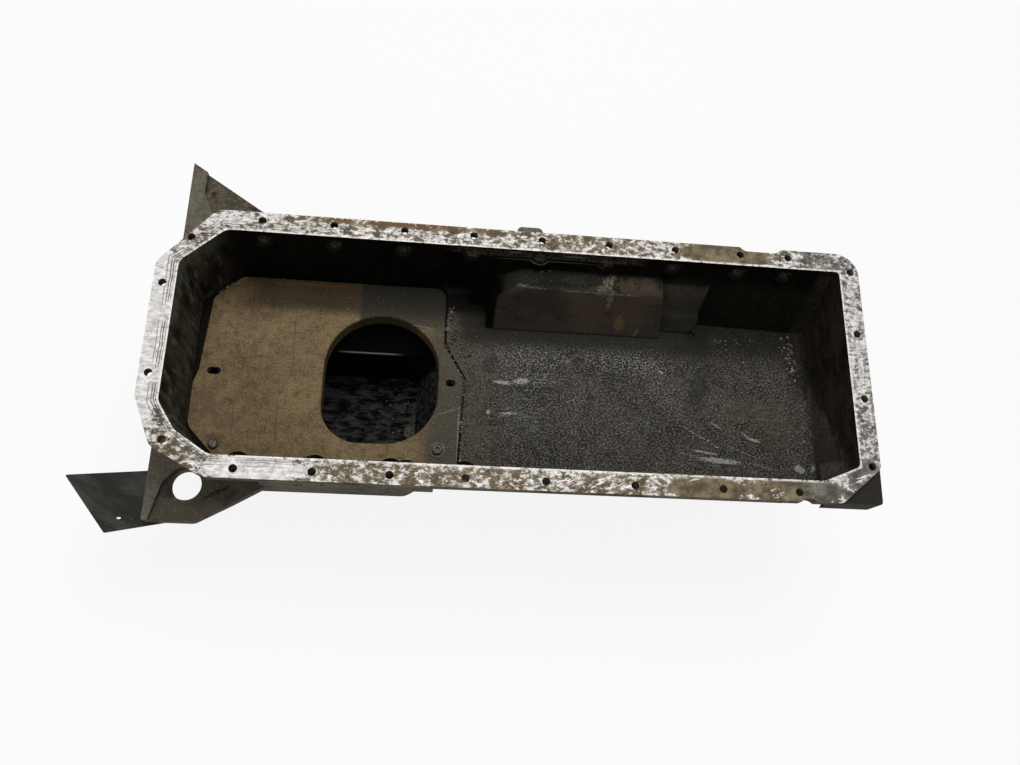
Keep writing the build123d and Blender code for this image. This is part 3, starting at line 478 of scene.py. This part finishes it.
def cast_colour_rail(paint, from_opening, scuff):
    """Machined rail: pale metal with flecks of it left bare between varnish, pits, lines and smears."""
    left_rail = paint.step(paint.x, -292, -300)
    right_rail = paint.step(paint.x, 296, 302)
    patch = paint.noise(13, detail=6, roughness=0.7, shift=(5, 9, 0))
    flake = paint.noise(3.6, detail=6, roughness=0.74, stretch=(1.6, 1, 1), shift=(2, 1, 0))
    metal = paint.mix(paint.step(scuff, 0.36, 0.64), (0.42, 0.40, 0.385), (0.80, 0.775, 0.755))

    # Varnish: brown between the flakes of bare metal, smoky to the right
    varnish = paint.mix(paint.step(patch, 0.38, 0.62), (0.082, 0.066, 0.040), (0.205, 0.165, 0.102))
    smoky = paint.mix(paint.step(patch, 0.38, 0.62), (0.070, 0.063, 0.052), (0.185, 0.172, 0.148))
    varnish = paint.mix(paint.both(right_rail, paint.step(paint.x, 232, 262)), varnish, smoky)
    rust = paint.blots([(-6, -116, 34, 8, 0), (34, -114, 26, 6, 0), (-120, 118, 190, 5, 0)],
                       soft=0.9, ragged=patch)
    varnish = paint.mix(paint.times(rust, 0.8), varnish, (0.13, 0.062, 0.027))

    # How clean each stretch of the rail is: above 0 more bare metal than elsewhere, below 0 more varnish
    clean = 0.49
    zones = [
        ([(-312, 10, 34, 150, 0), (-318, -50, 34, 80, 0)], 0.38),
        ([(-218, -111, 96, 26, 0)], 0.20),
        ([(-250, 116, 90, 18, 15)], 0.05),
        ([(86, -111, 120, 26, 0)], -0.02),
        ([(311, 30, 26, 150, 0)], 0.03),
        ([(284, 110, 70, 26, 0)], -0.04),
        ([(-100, 117, 280, 8, 0)], -0.07),
        ([(60, 111, 120, 26, 0)], -0.03),
        ([(190, 112, 110, 26, 0)], -0.17),
        ([(-136, -111, 80, 26, 0), (-70, -111, 90, 26, 0), (-16, -111, 50, 26, 0)], -0.03),
        ([(160, -113, 76, 26, 0)], -0.24),
        ([(240, -111, 110, 26, 0), (306, -100, 40, 44, 0)], -0.20),
        ([(-282, -96, 44, 30, -40)], -0.02),
    ]
    for marks, amount in zones:
        clean = paint.calc("ADD", clean, paint.times(paint.blots(marks, soft=0.9), amount))
    bare = paint.calc("SUBTRACT", paint.calc("ADD", paint.blend(0.35, flake, patch), clean), 0.5)
    metal = paint.mix(paint.step(bare, 0.46, 0.53), varnish, metal)
    streaks = paint.noise(3.0, detail=5, roughness=0.7, stretch=(1, 7, 1), shift=(1, 4, 0))
    streaks = paint.times(right_rail, paint.step(streaks, 0.48, 0.64), 0.8)
    metal = paint.mix(streaks, metal, (0.22, 0.208, 0.19))

    # Lines left by the gasket, parallel to the opening, and the inner edge: rubbed bare, with a painted
    # highlight
    wave = paint.calc("ADD", from_opening, paint.times(paint.calc("SUBTRACT", patch, 0.5), 3.0))
    lines = None
    for place, width in ((1.9, 0.35), (3.7, 0.45), (5.6, 0.4), (8.6, 0.3)):
        line = paint.band(wave, place - width, place + width, 0.25)
        lines = line if lines is None else paint.both(lines, line)
    lines = paint.times(lines, paint.step(paint.noise(26, detail=5, shift=(4, 4, 0)), 0.38, 0.50),
                        paint.both(left_rail, paint.times(paint.step(paint.x, -150, -230), 0.8)))
    metal = paint.mix(paint.times(lines, 0.85), metal, (0.060, 0.050, 0.040))
    # Painted highlight on the rubbed bare inner edge
    edge = paint.times(paint.step(from_opening, 2.6, 0.8), paint.step(flake, 0.38, 0.50))
    metal = paint.mix(paint.times(edge, 0.75), metal, (0.80, 0.77, 0.74))

    # White smears across the near rail, dark pits and stains everywhere
    stroke = paint.noise(5, detail=5, roughness=0.7, stretch=(4.5, 1, 1), shift=(1, 6, 0), turn=24)
    smeared = paint.blots([(66, -110, 130, 24, 0), (134, -104, 50, 7, 0), (222, -114, 40, 10, 0),
                           (300, -104, 40, 20, 40)], soft=0.7)
    smeared = paint.times(smeared, paint.step(stroke, 0.545, 0.60))
    metal = paint.mix(paint.times(smeared, 0.9), metal, (0.83, 0.79, 0.78))
    pits = paint.step(paint.specks(4.0, shift=(1, 2, 0)), 0.15, 0.06)
    stains = paint.step(paint.noise(5.0, detail=5, roughness=0.72, shift=(30, 2, 0)), 0.60, 0.66)
    stains = paint.times(stains, paint.blend(left_rail, 0.9, 0.35))
    return paint.mix(paint.both(paint.times(pits, 0.9), stains), metal, (0.030, 0.026, 0.020))


def cast_material():
    """The casting: worn machined rail, dark oily inside, rough brown-grey outside."""
    paint = Paint("cast_aluminium")
    from_opening = paint.beyond(OPENING_OUTLINE)
    rail = paint.times(paint.step(paint.z, -0.5, -0.2), paint.step(paint.facing_z, 0.8, 0.95))
    coarse = paint.noise(38, detail=6)
    fine = paint.noise(3.2, detail=5, roughness=0.65)
    scuff = paint.noise(4, detail=6, roughness=0.72, stretch=(2, 1, 1), shift=(2, 1, 0))

    # Inside faces: within the opening above the floor, and facing the middle of the sump below it
    backs = paint.both(paint.step(paint.facing_z, -0.2, -0.4),
                       paint.times(paint.step(paint.y, 40, 50), paint.step(paint.facing_y, 0.15, 0.3)))
    undercut = paint.times(paint.band(paint.y, -110.8, -100, 0.4), paint.band(paint.x, -219, -74, 0.5),
                           paint.step(paint.z, -24, -26))
    tub = paint.times(paint.both(paint.step(from_opening, 0.6, 0.3), undercut), paint.inverse(backs),
                      paint.step(paint.z, -93, -92))
    to_middle = paint.calc(
        "ADD",
        paint.times(paint.calc("SUBTRACT", SUMP_MIDDLE[0], paint.x), paint.facing_x),
        paint.times(paint.calc("SUBTRACT", SUMP_MIDDLE[1], paint.y), paint.facing_y),
    )
    chamber = paint.times(
        paint.both(paint.step(to_middle, 0, 4), paint.step(paint.facing_z, 0.3, 0.5)),
        paint.step(paint.facing_z, -0.4, -0.2),
        paint.band(paint.x, -289.6, -58.0, 0.3),
        paint.band(paint.z, -200.6, -92.5, 0.3),
    )
    floor, grain = cast_colour_floor(paint)
    flat = paint.times(paint.step(paint.facing_z, 0.15, 0.55), paint.step(paint.y, 98, 90))
    flat = paint.both(flat, paint.times(paint.band(paint.x, -27.4, 185, 0.3), paint.band(paint.y, 52, 93, 1),
                                        paint.step(paint.z, -24, -27)))
    flat = paint.times(flat, paint.step(paint.z, -20, -22))
    inner = paint.mix(flat, cast_colour_walls(paint), floor)
    colour = paint.mix(tub, cast_colour_outside(paint, coarse, fine), inner)
    colour = paint.mix(chamber, colour, cast_colour_sump(paint, grain))
    colour = paint.mix(rail, colour, cast_colour_rail(paint, from_opening, scuff))

    wet = paint.both(tub, chamber)
    roughness = paint.blend(paint.times(wet, paint.inverse(rail)), 0.66, 0.5)
    roughness = paint.blend(chamber, roughness, 0.9)
    roughness = paint.blend(rail, roughness, 0.46)
    metallic = paint.blend(rail, 0.0, 0.1)
    paint.bump((coarse, 0.5), (fine, 0.45), (paint.times(rail, scuff), 0.12))
    return paint.finish(colour, roughness, metallic, specular=0.04)


def baffle_material():
    """Sheet steel under a brown oil varnish, greyer and darker towards its right side, with painted shade
    towards its far edge.
    """
    paint = Paint("baffle_steel")
    cloud = paint.noise(50, detail=5, bend=0.5)
    blotch = paint.noise(9, detail=5, roughness=0.68, shift=(3, 1, 0))
    grain = paint.noise(1.7, detail=4, roughness=0.74)
    drawn = paint.noise(3.2, detail=4, roughness=0.65, stretch=(5, 1, 1), shift=(8, 3, 0))
    drag = paint.noise(7, detail=4, roughness=0.6, stretch=(1, 8, 1))
    ragged = paint.noise(8, detail=4, roughness=0.65, shift=(4, 2, 0))
    colour = paint.mix(paint.step(cloud, 0.35, 0.68), (0.128, 0.088, 0.042), (0.205, 0.146, 0.072))
    colour = paint.mix(paint.times(paint.step(blotch, 0.48, 0.66), 0.75), colour, (0.074, 0.048, 0.023))
    colour = paint.mix(paint.times(paint.step(blotch, 0.44, 0.30), 0.6), colour, (0.225, 0.165, 0.086))
    colour = paint.mix(paint.times(paint.step(drag, 0.5, 0.68), 0.30), colour, (0.085, 0.060, 0.033))
    colour = paint.mix(paint.times(paint.step(drawn, 0.50, 0.66), 0.45), colour, (0.090, 0.062, 0.032))
    colour = paint.mix(paint.times(paint.step(grain, 0.55, 0.65), 0.7), colour, (0.330, 0.250, 0.145))
    colour = paint.mix(paint.times(paint.step(grain, 0.45, 0.37), 0.65), colour, (0.045, 0.030, 0.015))
    # Painted shade: the far stretch is darkened as the far wall's shadow
    far_shade = paint.times(paint.step(paint.y, 58, 72), paint.step(paint.x, -276, -238))
    colour = paint.mix(paint.times(far_shade, 0.80), colour, (0.026, 0.018, 0.009))
    grey = paint.both(
        paint.times(paint.step(paint.x, -152, -147), paint.step(paint.y, 50, 56)),
        paint.step(paint.x, -96, -70),
    )
    grey_tone = paint.mix(paint.step(grain, 0.42, 0.64), (0.030, 0.027, 0.019), (0.072, 0.066, 0.049))
    colour = paint.mix(paint.times(grey, 0.85), colour, grey_tone)
    # Painted shade: the grey part's far stretch is darkened as the far wall's shadow
    far_grey_shade = paint.times(paint.step(paint.x, -152, -147), paint.step(paint.y, 50, 78))
    colour = paint.mix(paint.times(far_grey_shade, 0.72), colour, (0.0165, 0.0145, 0.0105))
    orange = paint.blots([(-190, 93, 66, 4, 0), (-228, 92, 24, 4, 0), (-262, 86, 10, 8, 40)],
                         soft=0.8, ragged=ragged)
    colour = paint.mix(paint.times(orange, 0.6), colour, (0.13, 0.055, 0.02))
    shine = paint.blots([(-284, -34, 30, 36, -25), (-266, -50, 44, 22, -30)], soft=0.9, ragged=ragged)
    colour = paint.mix(paint.times(shine, 0.75), colour, (0.130, 0.074, 0.042))
    ring = paint.blots([(-273, -72, 30, 26, 0), (-69, -68, 30, 26, 0)], soft=0.9, ragged=ragged)
    colour = paint.mix(paint.times(ring, 0.55), colour, (0.052, 0.040, 0.024))
    seams = paint.blots(
        [(-148.8, 76, 1.0, 34, 0), (-252, 76, 1.0, 36, 0), (-210, 40, 0.9, 90, 2), (-219, -50, 1.2, 60, 3),
         (-259, -42, 0.9, 48, 3)],
        soft=0.7,
    )
    colour = paint.mix(paint.times(seams, 0.6), colour, (0.030, 0.022, 0.012))
    scratches = paint.blots(
        [(-60, -29.5, 26, 1.0, 21), (-80, -43, 24, 1.0, 52), (-92, -53.5, 11, 1.0, 12),
         (-88, 55.5, 31, 0.9, -8), (-66, 47, 22, 0.7, -14)],
        soft=0.7,
    )
    colour = paint.mix(paint.times(scratches, 0.7), colour, (0.22, 0.185, 0.125))
    # Worn metal along the plate's right edge
    bright_edge = paint.times(paint.step(paint.x, -51.6, -50.2), paint.step(paint.y, -20, -40),
                            paint.step(grain, 0.4, 0.55))
    colour = paint.mix(paint.times(bright_edge, 0.8), colour, (0.24, 0.20, 0.14))
    crumbs = paint.step(paint.specks(6.0, shift=(2, 7, 0)), 0.085, 0.035)
    colour = paint.mix(crumbs, colour, (0.36, 0.30, 0.20))
    rim = paint.step(paint.z, -89.6, -91.5)
    colour = paint.mix(paint.times(rim, 0.6), colour, (0.052, 0.038, 0.020))
    roughness = paint.blend(shine, 0.55, 0.36)
    paint.bump((cloud, 0.6), (grain, 0.2))
    return paint.finish(colour, roughness, 0.0, specular=0.10)


def screw_material():
    """Small steel heads under the same varnish, a little worn on top."""
    paint = Paint("screw_steel")
    fine = paint.noise(1.3, detail=4)
    left_head = paint.step(paint.x, -200, -240)
    colour = paint.mix(paint.step(fine, 0.4, 0.65), (0.026, 0.020, 0.012), (0.078, 0.064, 0.042))
    worn = paint.times(paint.step(paint.facing_z, 0.6, 0.98), paint.step(fine, 0.5, 0.62))
    colour = paint.mix(paint.times(worn, 0.7), colour, (0.17, 0.15, 0.11))
    dusty = paint.times(left_head, paint.step(paint.facing_z, 0.8, 0.97), paint.step(fine, 0.36, 0.56))
    colour = paint.mix(paint.times(dusty, 0.8), colour, (0.19, 0.19, 0.17))
    paint.bump((fine, 0.12))
    return paint.finish(colour, 0.55, 0.0, specular=0.25)


def drain_material():
    """Dull zinc plate with grime."""
    paint = Paint("drain_steel")
    fine = paint.noise(1.6, detail=5, roughness=0.65)
    colour = paint.mix(paint.step(fine, 0.4, 0.66), (0.30, 0.29, 0.26), (0.52, 0.51, 0.48))
    grime = paint.step(paint.noise(6, detail=5, roughness=0.7), 0.5, 0.64)
    colour = paint.mix(paint.times(grime, 0.85), colour, (0.04, 0.034, 0.026))
    within = paint.step(paint.y, 46.5, 45.5)
    colour = paint.mix(within, colour, (0.002, 0.002, 0.002))
    paint.bump((fine, 0.08))
    return paint.finish(colour, paint.blend(grime, 0.34, 0.62), paint.blend(within, 0.8, 0.0))


def washer_material():
    """Soft crushed aluminium."""
    paint = Paint("washer_aluminium")
    fine = paint.noise(1.2, detail=4)
    colour = paint.mix(paint.step(fine, 0.4, 0.64), (0.42, 0.41, 0.39), (0.68, 0.67, 0.65))
    paint.bump((fine, 0.05))
    return paint.finish(colour, 0.4, 0.85)


def shield_material():
    """Smooth dark sheet with soft long streaks and dust along its near edge."""
    paint = Paint("shield_steel")
    drag = paint.noise(24, detail=4, roughness=0.55, stretch=(3, 1, 1), turn=-20, bend=0.5)
    fine = paint.noise(1.8, detail=4, roughness=0.7)
    colour = paint.mix(paint.step(drag, 0.38, 0.64), (0.012, 0.012, 0.010), (0.050, 0.050, 0.042))
    dust = paint.times(paint.step(fine, 0.55, 0.7), paint.step(paint.y, -122, -150))
    colour = paint.mix(paint.times(dust, 0.7), colour, (0.10, 0.085, 0.062))
    paint.bump((drag, 0.25), (fine, 0.05))
    return paint.finish(colour, 0.42, 0.0, specular=0.12)


def crumb_material():
    """Baked oil and grit."""
    paint = Paint("crumbs")
    fine = paint.noise(2.4, detail=4, roughness=0.7)
    colour = paint.mix(paint.step(fine, 0.40, 0.56), (0.010, 0.008, 0.006), (0.085, 0.072, 0.050))
    colour = paint.mix(paint.step(fine, 0.55, 0.61), colour, (0.33, 0.31, 0.26))
    paint.bump((fine, 0.3))
    return paint.finish(colour, 0.6, 0.0)


# Corners of the shield as the photograph shows it. From the last one back to the first it goes round the
# ear's hole
SHIELD_CORNERS = [(-308, -99.5), (-322.9, -99.6), (-395.2, -106.4), (-353.9, -156.8), (-276, -140.5),
                  (-273.2, -136)]
SHIELD_CORNER_RADIUS = 1.5
EAR_HOLE = (-288.0, -113.7)
EAR_HOLE_CLEARANCE = 17.5
NICK = (-343.3, -143.0)
NICK_LENGTH = 4.4
NICK_WIDTH = 2.0
NICK_CORNERS = 10


def rounded(corners, radius, steps=6):
    """The outline with each corner rounded."""
    outline = []
    for index, corner in enumerate(corners):
        here = Vector(corner)
        back = (Vector(corners[index - 1]) - here).normalized()
        ahead = (Vector(corners[(index + 1) % len(corners)]) - here).normalized()
        half = back.angle(ahead) / 2
        centre = here + (back + ahead).normalized() * radius / math.sin(half)
        start = here + back * radius / math.tan(half) - centre
        end = here + ahead * radius / math.tan(half) - centre
        for step in range(steps + 1):
            outline.append(centre + start.slerp(end, step / steps))
    return outline


def shield_sheet():
    """The sheet under the near ear: its far edge lies nearer than in the solid, its hole is a small nick."""
    lowest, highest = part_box("shield_plate")
    outline = rounded(SHIELD_CORNERS, SHIELD_CORNER_RADIUS)
    for angle in range(-62, -216, -7):
        turn = math.radians(angle)
        outline.append(Vector(EAR_HOLE) + EAR_HOLE_CLEARANCE * Vector((math.cos(turn), math.sin(turn))))
    nick = []
    for index in range(NICK_CORNERS):
        turn = index * math.tau / NICK_CORNERS
        reach = Vector((NICK_LENGTH / 2 * math.cos(turn), NICK_WIDTH / 2 * math.sin(turn)))
        nick.append(Vector(NICK) + reach)
    loops = [outline, nick]
    flat = [[point.to_3d() for point in loop] for loop in loops]
    shape = bmesh.new()
    levels = []
    for z in (lowest[2], highest[2]):
        level = [shape.verts.new((point.x * MM, point.y * MM, z)) for loop in loops for point in loop]
        for corners in tessellate_polygon(flat):
            shape.faces.new([level[corner] for corner in corners])
        levels.append(level)
    bottom, top = levels
    first = 0
    for loop in loops:
        for index in range(len(loop)):
            a, b = first + index, first + (index + 1) % len(loop)
            shape.faces.new([bottom[a], bottom[b], top[b], top[a]])
        first += len(loop)
    bmesh.ops.recalc_face_normals(shape, faces=shape.faces)
    mesh = bpy.data.meshes.new("shield_sheet")
    shape.to_mesh(mesh)
    shape.free()
    mesh.materials.append(shield_material())
    sheet = bpy.data.objects.new("shield_sheet", mesh)
    bpy.context.collection.objects.link(sheet)
    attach(sheet, "root")
    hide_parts("shield_plate")


def dress(material, names):
    """Gives the named nodes a material."""
    for name in names:
        for slot in nodes[name].material_slots:
            slot.material = material


dress(cast_material(), ["pan_casting"])
dress(baffle_material(), ["baffle_plate"])
dress(screw_material(), ["baffle_screw_left", "baffle_washer", "baffle_screw_right",
                         "shield_bolt_outer", "shield_bolt_inner"])
dress(drain_material(), ["drain_plug"])
dress(washer_material(), ["drain_washer"])


# A run of crumbs each: where it starts and ends, how far they stray, how many, and their size
CRUMB_PLACES = [
    ((283, 62), (289, 20), 5.5, 44, 1.2),
    ((214, 46), (242, 32), 9.0, 34, 0.7),
    ((278, 56), (292, 32), 6.0, 44, 0.8),
    ((250, 60), (196, 58), 4.0, 24, 0.7),
    ((-286, 78), (-270, 93), 1.5, 16, 1.1),
    ((-47.6, -88), (-46.6, 2), 0.9, 40, 0.9),
    ((-46.6, 2), (-66.5, 40), 1.1, 26, 0.9),
    ((-66.5, 44), (-60, 80), 2.6, 18, 1.3),
    ((-40, 60), (-30, 10), 7.0, 14, 0.8),
    ((60, 40), (250, 10), 22.0, 30, 0.6),
    ((0, -60), (240, -70), 24.0, 26, 0.5),
]


def crumb_pieces():
    """Loose crumbs of baked oil on the floor, as one mesh of small uneven lumps."""
    seeded = random.Random(7)
    mesh = bpy.data.meshes.new("floor_crumbs")
    shape = bmesh.new()
    for start, end, stray, count, size in CRUMB_PLACES:
        for index in range(count):
            share = seeded.random()
            x = start[0] + (end[0] - start[0]) * share + seeded.gauss(0, stray / 2)
            y = start[1] + (end[1] - start[1]) * share + seeded.gauss(0, stray / 2)
            radius = size * seeded.uniform(0.5, 1.3)
            squash = Matrix.Diagonal((seeded.uniform(0.7, 1.3), seeded.uniform(0.7, 1.3), 0.55, 1.0))
            place = Matrix.Translation(Vector((x, y, FLOOR_LEVEL + radius * 0.2)) * MM)
            turn = Matrix.Rotation(seeded.uniform(0, math.tau), 4, "Z")
            lump = bmesh.ops.create_icosphere(shape, subdivisions=1, radius=radius * MM,
                                              matrix=place @ turn @ squash)
            for vertex in lump["verts"]:
                vertex.co += Vector([seeded.uniform(-0.22, 0.22) * radius * MM for axis in range(3)])
    shape.to_mesh(mesh)
    shape.free()
    mesh.materials.append(crumb_material())
    crumbs = bpy.data.objects.new("floor_crumbs", mesh)
    bpy.context.collection.objects.link(crumbs)
    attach(crumbs, "root")


crumb_pieces()
shield_sheet()


FLOOR_HALF = 4.0
FLOOR_SHADE = 0.85
FLOOR_GLOW_SHARE = 0.86
WORLD_STRENGTH = 0.35


def background_rays(tree, rays):
    """1 for the rays that show the background: from the camera, reflected and through clear things."""
    result = rays.outputs["Is Camera Ray"]
    for name in ("Is Glossy Ray", "Is Transmission Ray"):
        either = tree.nodes.new("ShaderNodeMath")
        either.operation = "MAXIMUM"
        tree.links.new(result, either.inputs[0])
        tree.links.new(rays.outputs[name], either.inputs[1])
        result = either.outputs[0]
    return result


def stage_floor():
    """A white floor that keeps a soft shadow of the pan."""
    half = FLOOR_HALF
    level = cad_box[0][2]
    mesh = bpy.data.meshes.new("floor")
    corners = [(-half, -half, level), (half, -half, level), (half, half, level), (-half, half, level)]
    mesh.from_pydata(corners, [], [(0, 1, 2, 3)])
    floor = bpy.data.objects.new("floor", mesh)
    bpy.context.collection.objects.link(floor)
    material = bpy.data.materials.new("floor_white")
    material.use_nodes = True
    tree = material.node_tree
    tree.nodes.clear()
    output = tree.nodes.new("ShaderNodeOutputMaterial")
    diffuse = tree.nodes.new("ShaderNodeBsdfDiffuse")
    diffuse.inputs["Color"].default_value = (FLOOR_SHADE, FLOOR_SHADE, FLOOR_SHADE, 1)
    glow = tree.nodes.new("ShaderNodeEmission")
    mix = tree.nodes.new("ShaderNodeMixShader")
    rays = tree.nodes.new("ShaderNodeLightPath")
    share = tree.nodes.new("ShaderNodeMath")
    share.operation = "MULTIPLY"
    share.inputs[1].default_value = FLOOR_GLOW_SHARE
    tree.links.new(background_rays(tree, rays), share.inputs[0])
    tree.links.new(share.outputs[0], mix.inputs[0])
    tree.links.new(diffuse.outputs[0], mix.inputs[1])
    tree.links.new(glow.outputs[0], mix.inputs[2])
    tree.links.new(mix.outputs[0], output.inputs[0])
    mesh.materials.append(material)


def world_light():
    """A white world: dim as a light, and of strength 1 where it is seen."""
    world = bpy.data.worlds.new("studio")
    bpy.context.scene.world = world
    world.use_nodes = True
    tree = world.node_tree
    background = tree.nodes["Background"]
    rays = tree.nodes.new("ShaderNodeLightPath")
    strength = tree.nodes.new("ShaderNodeMapRange")
    strength.inputs["To Min"].default_value = WORLD_STRENGTH
    strength.inputs["To Max"].default_value = 1.0
    tree.links.new(background_rays(tree, rays), strength.inputs["Value"])
    tree.links.new(strength.outputs[0], background.inputs["Strength"])
    background.inputs["Color"].default_value = (1, 1, 1, 1)


def lamp(name, place, size, power):
    """A square soft lamp that faces the middle of the pan."""
    light = bpy.data.lights.new(name, "AREA")
    light.shape = "SQUARE"
    light.size = size
    light.energy = power
    lamp_object = bpy.data.objects.new(name, light)
    bpy.context.collection.objects.link(lamp_object)
    lamp_object.location = place
    lamp_object.rotation_euler = (-Vector(place)).to_track_quat("-Z", "Y").to_euler()


stage_floor()
world_light()
lamp("key", (0.15, 0.55, 1.7), 1.0, 22)
lamp("fill", (-1.0, -1.0, 1.5), 1.4, 10)

# Camera at the photograph's angle
CAMERA_PLACE = (-0.0898, -0.2630, 0.7088)
CAMERA_TURN = (18.2164, -6.6771, 1.0447)
LENS = 30.65
SENSOR_WIDTH = 36
camera = bpy.data.cameras.new("camera")
camera.lens = LENS
camera.sensor_width = SENSOR_WIDTH
camera_object = bpy.data.objects.new("camera", camera)
bpy.context.collection.objects.link(camera_object)
camera_object.location = CAMERA_PLACE
camera_object.rotation_euler = [math.radians(turn) for turn in CAMERA_TURN]
bpy.context.scene.camera = camera_object
bpy.context.scene.view_settings.view_transform = "Standard"
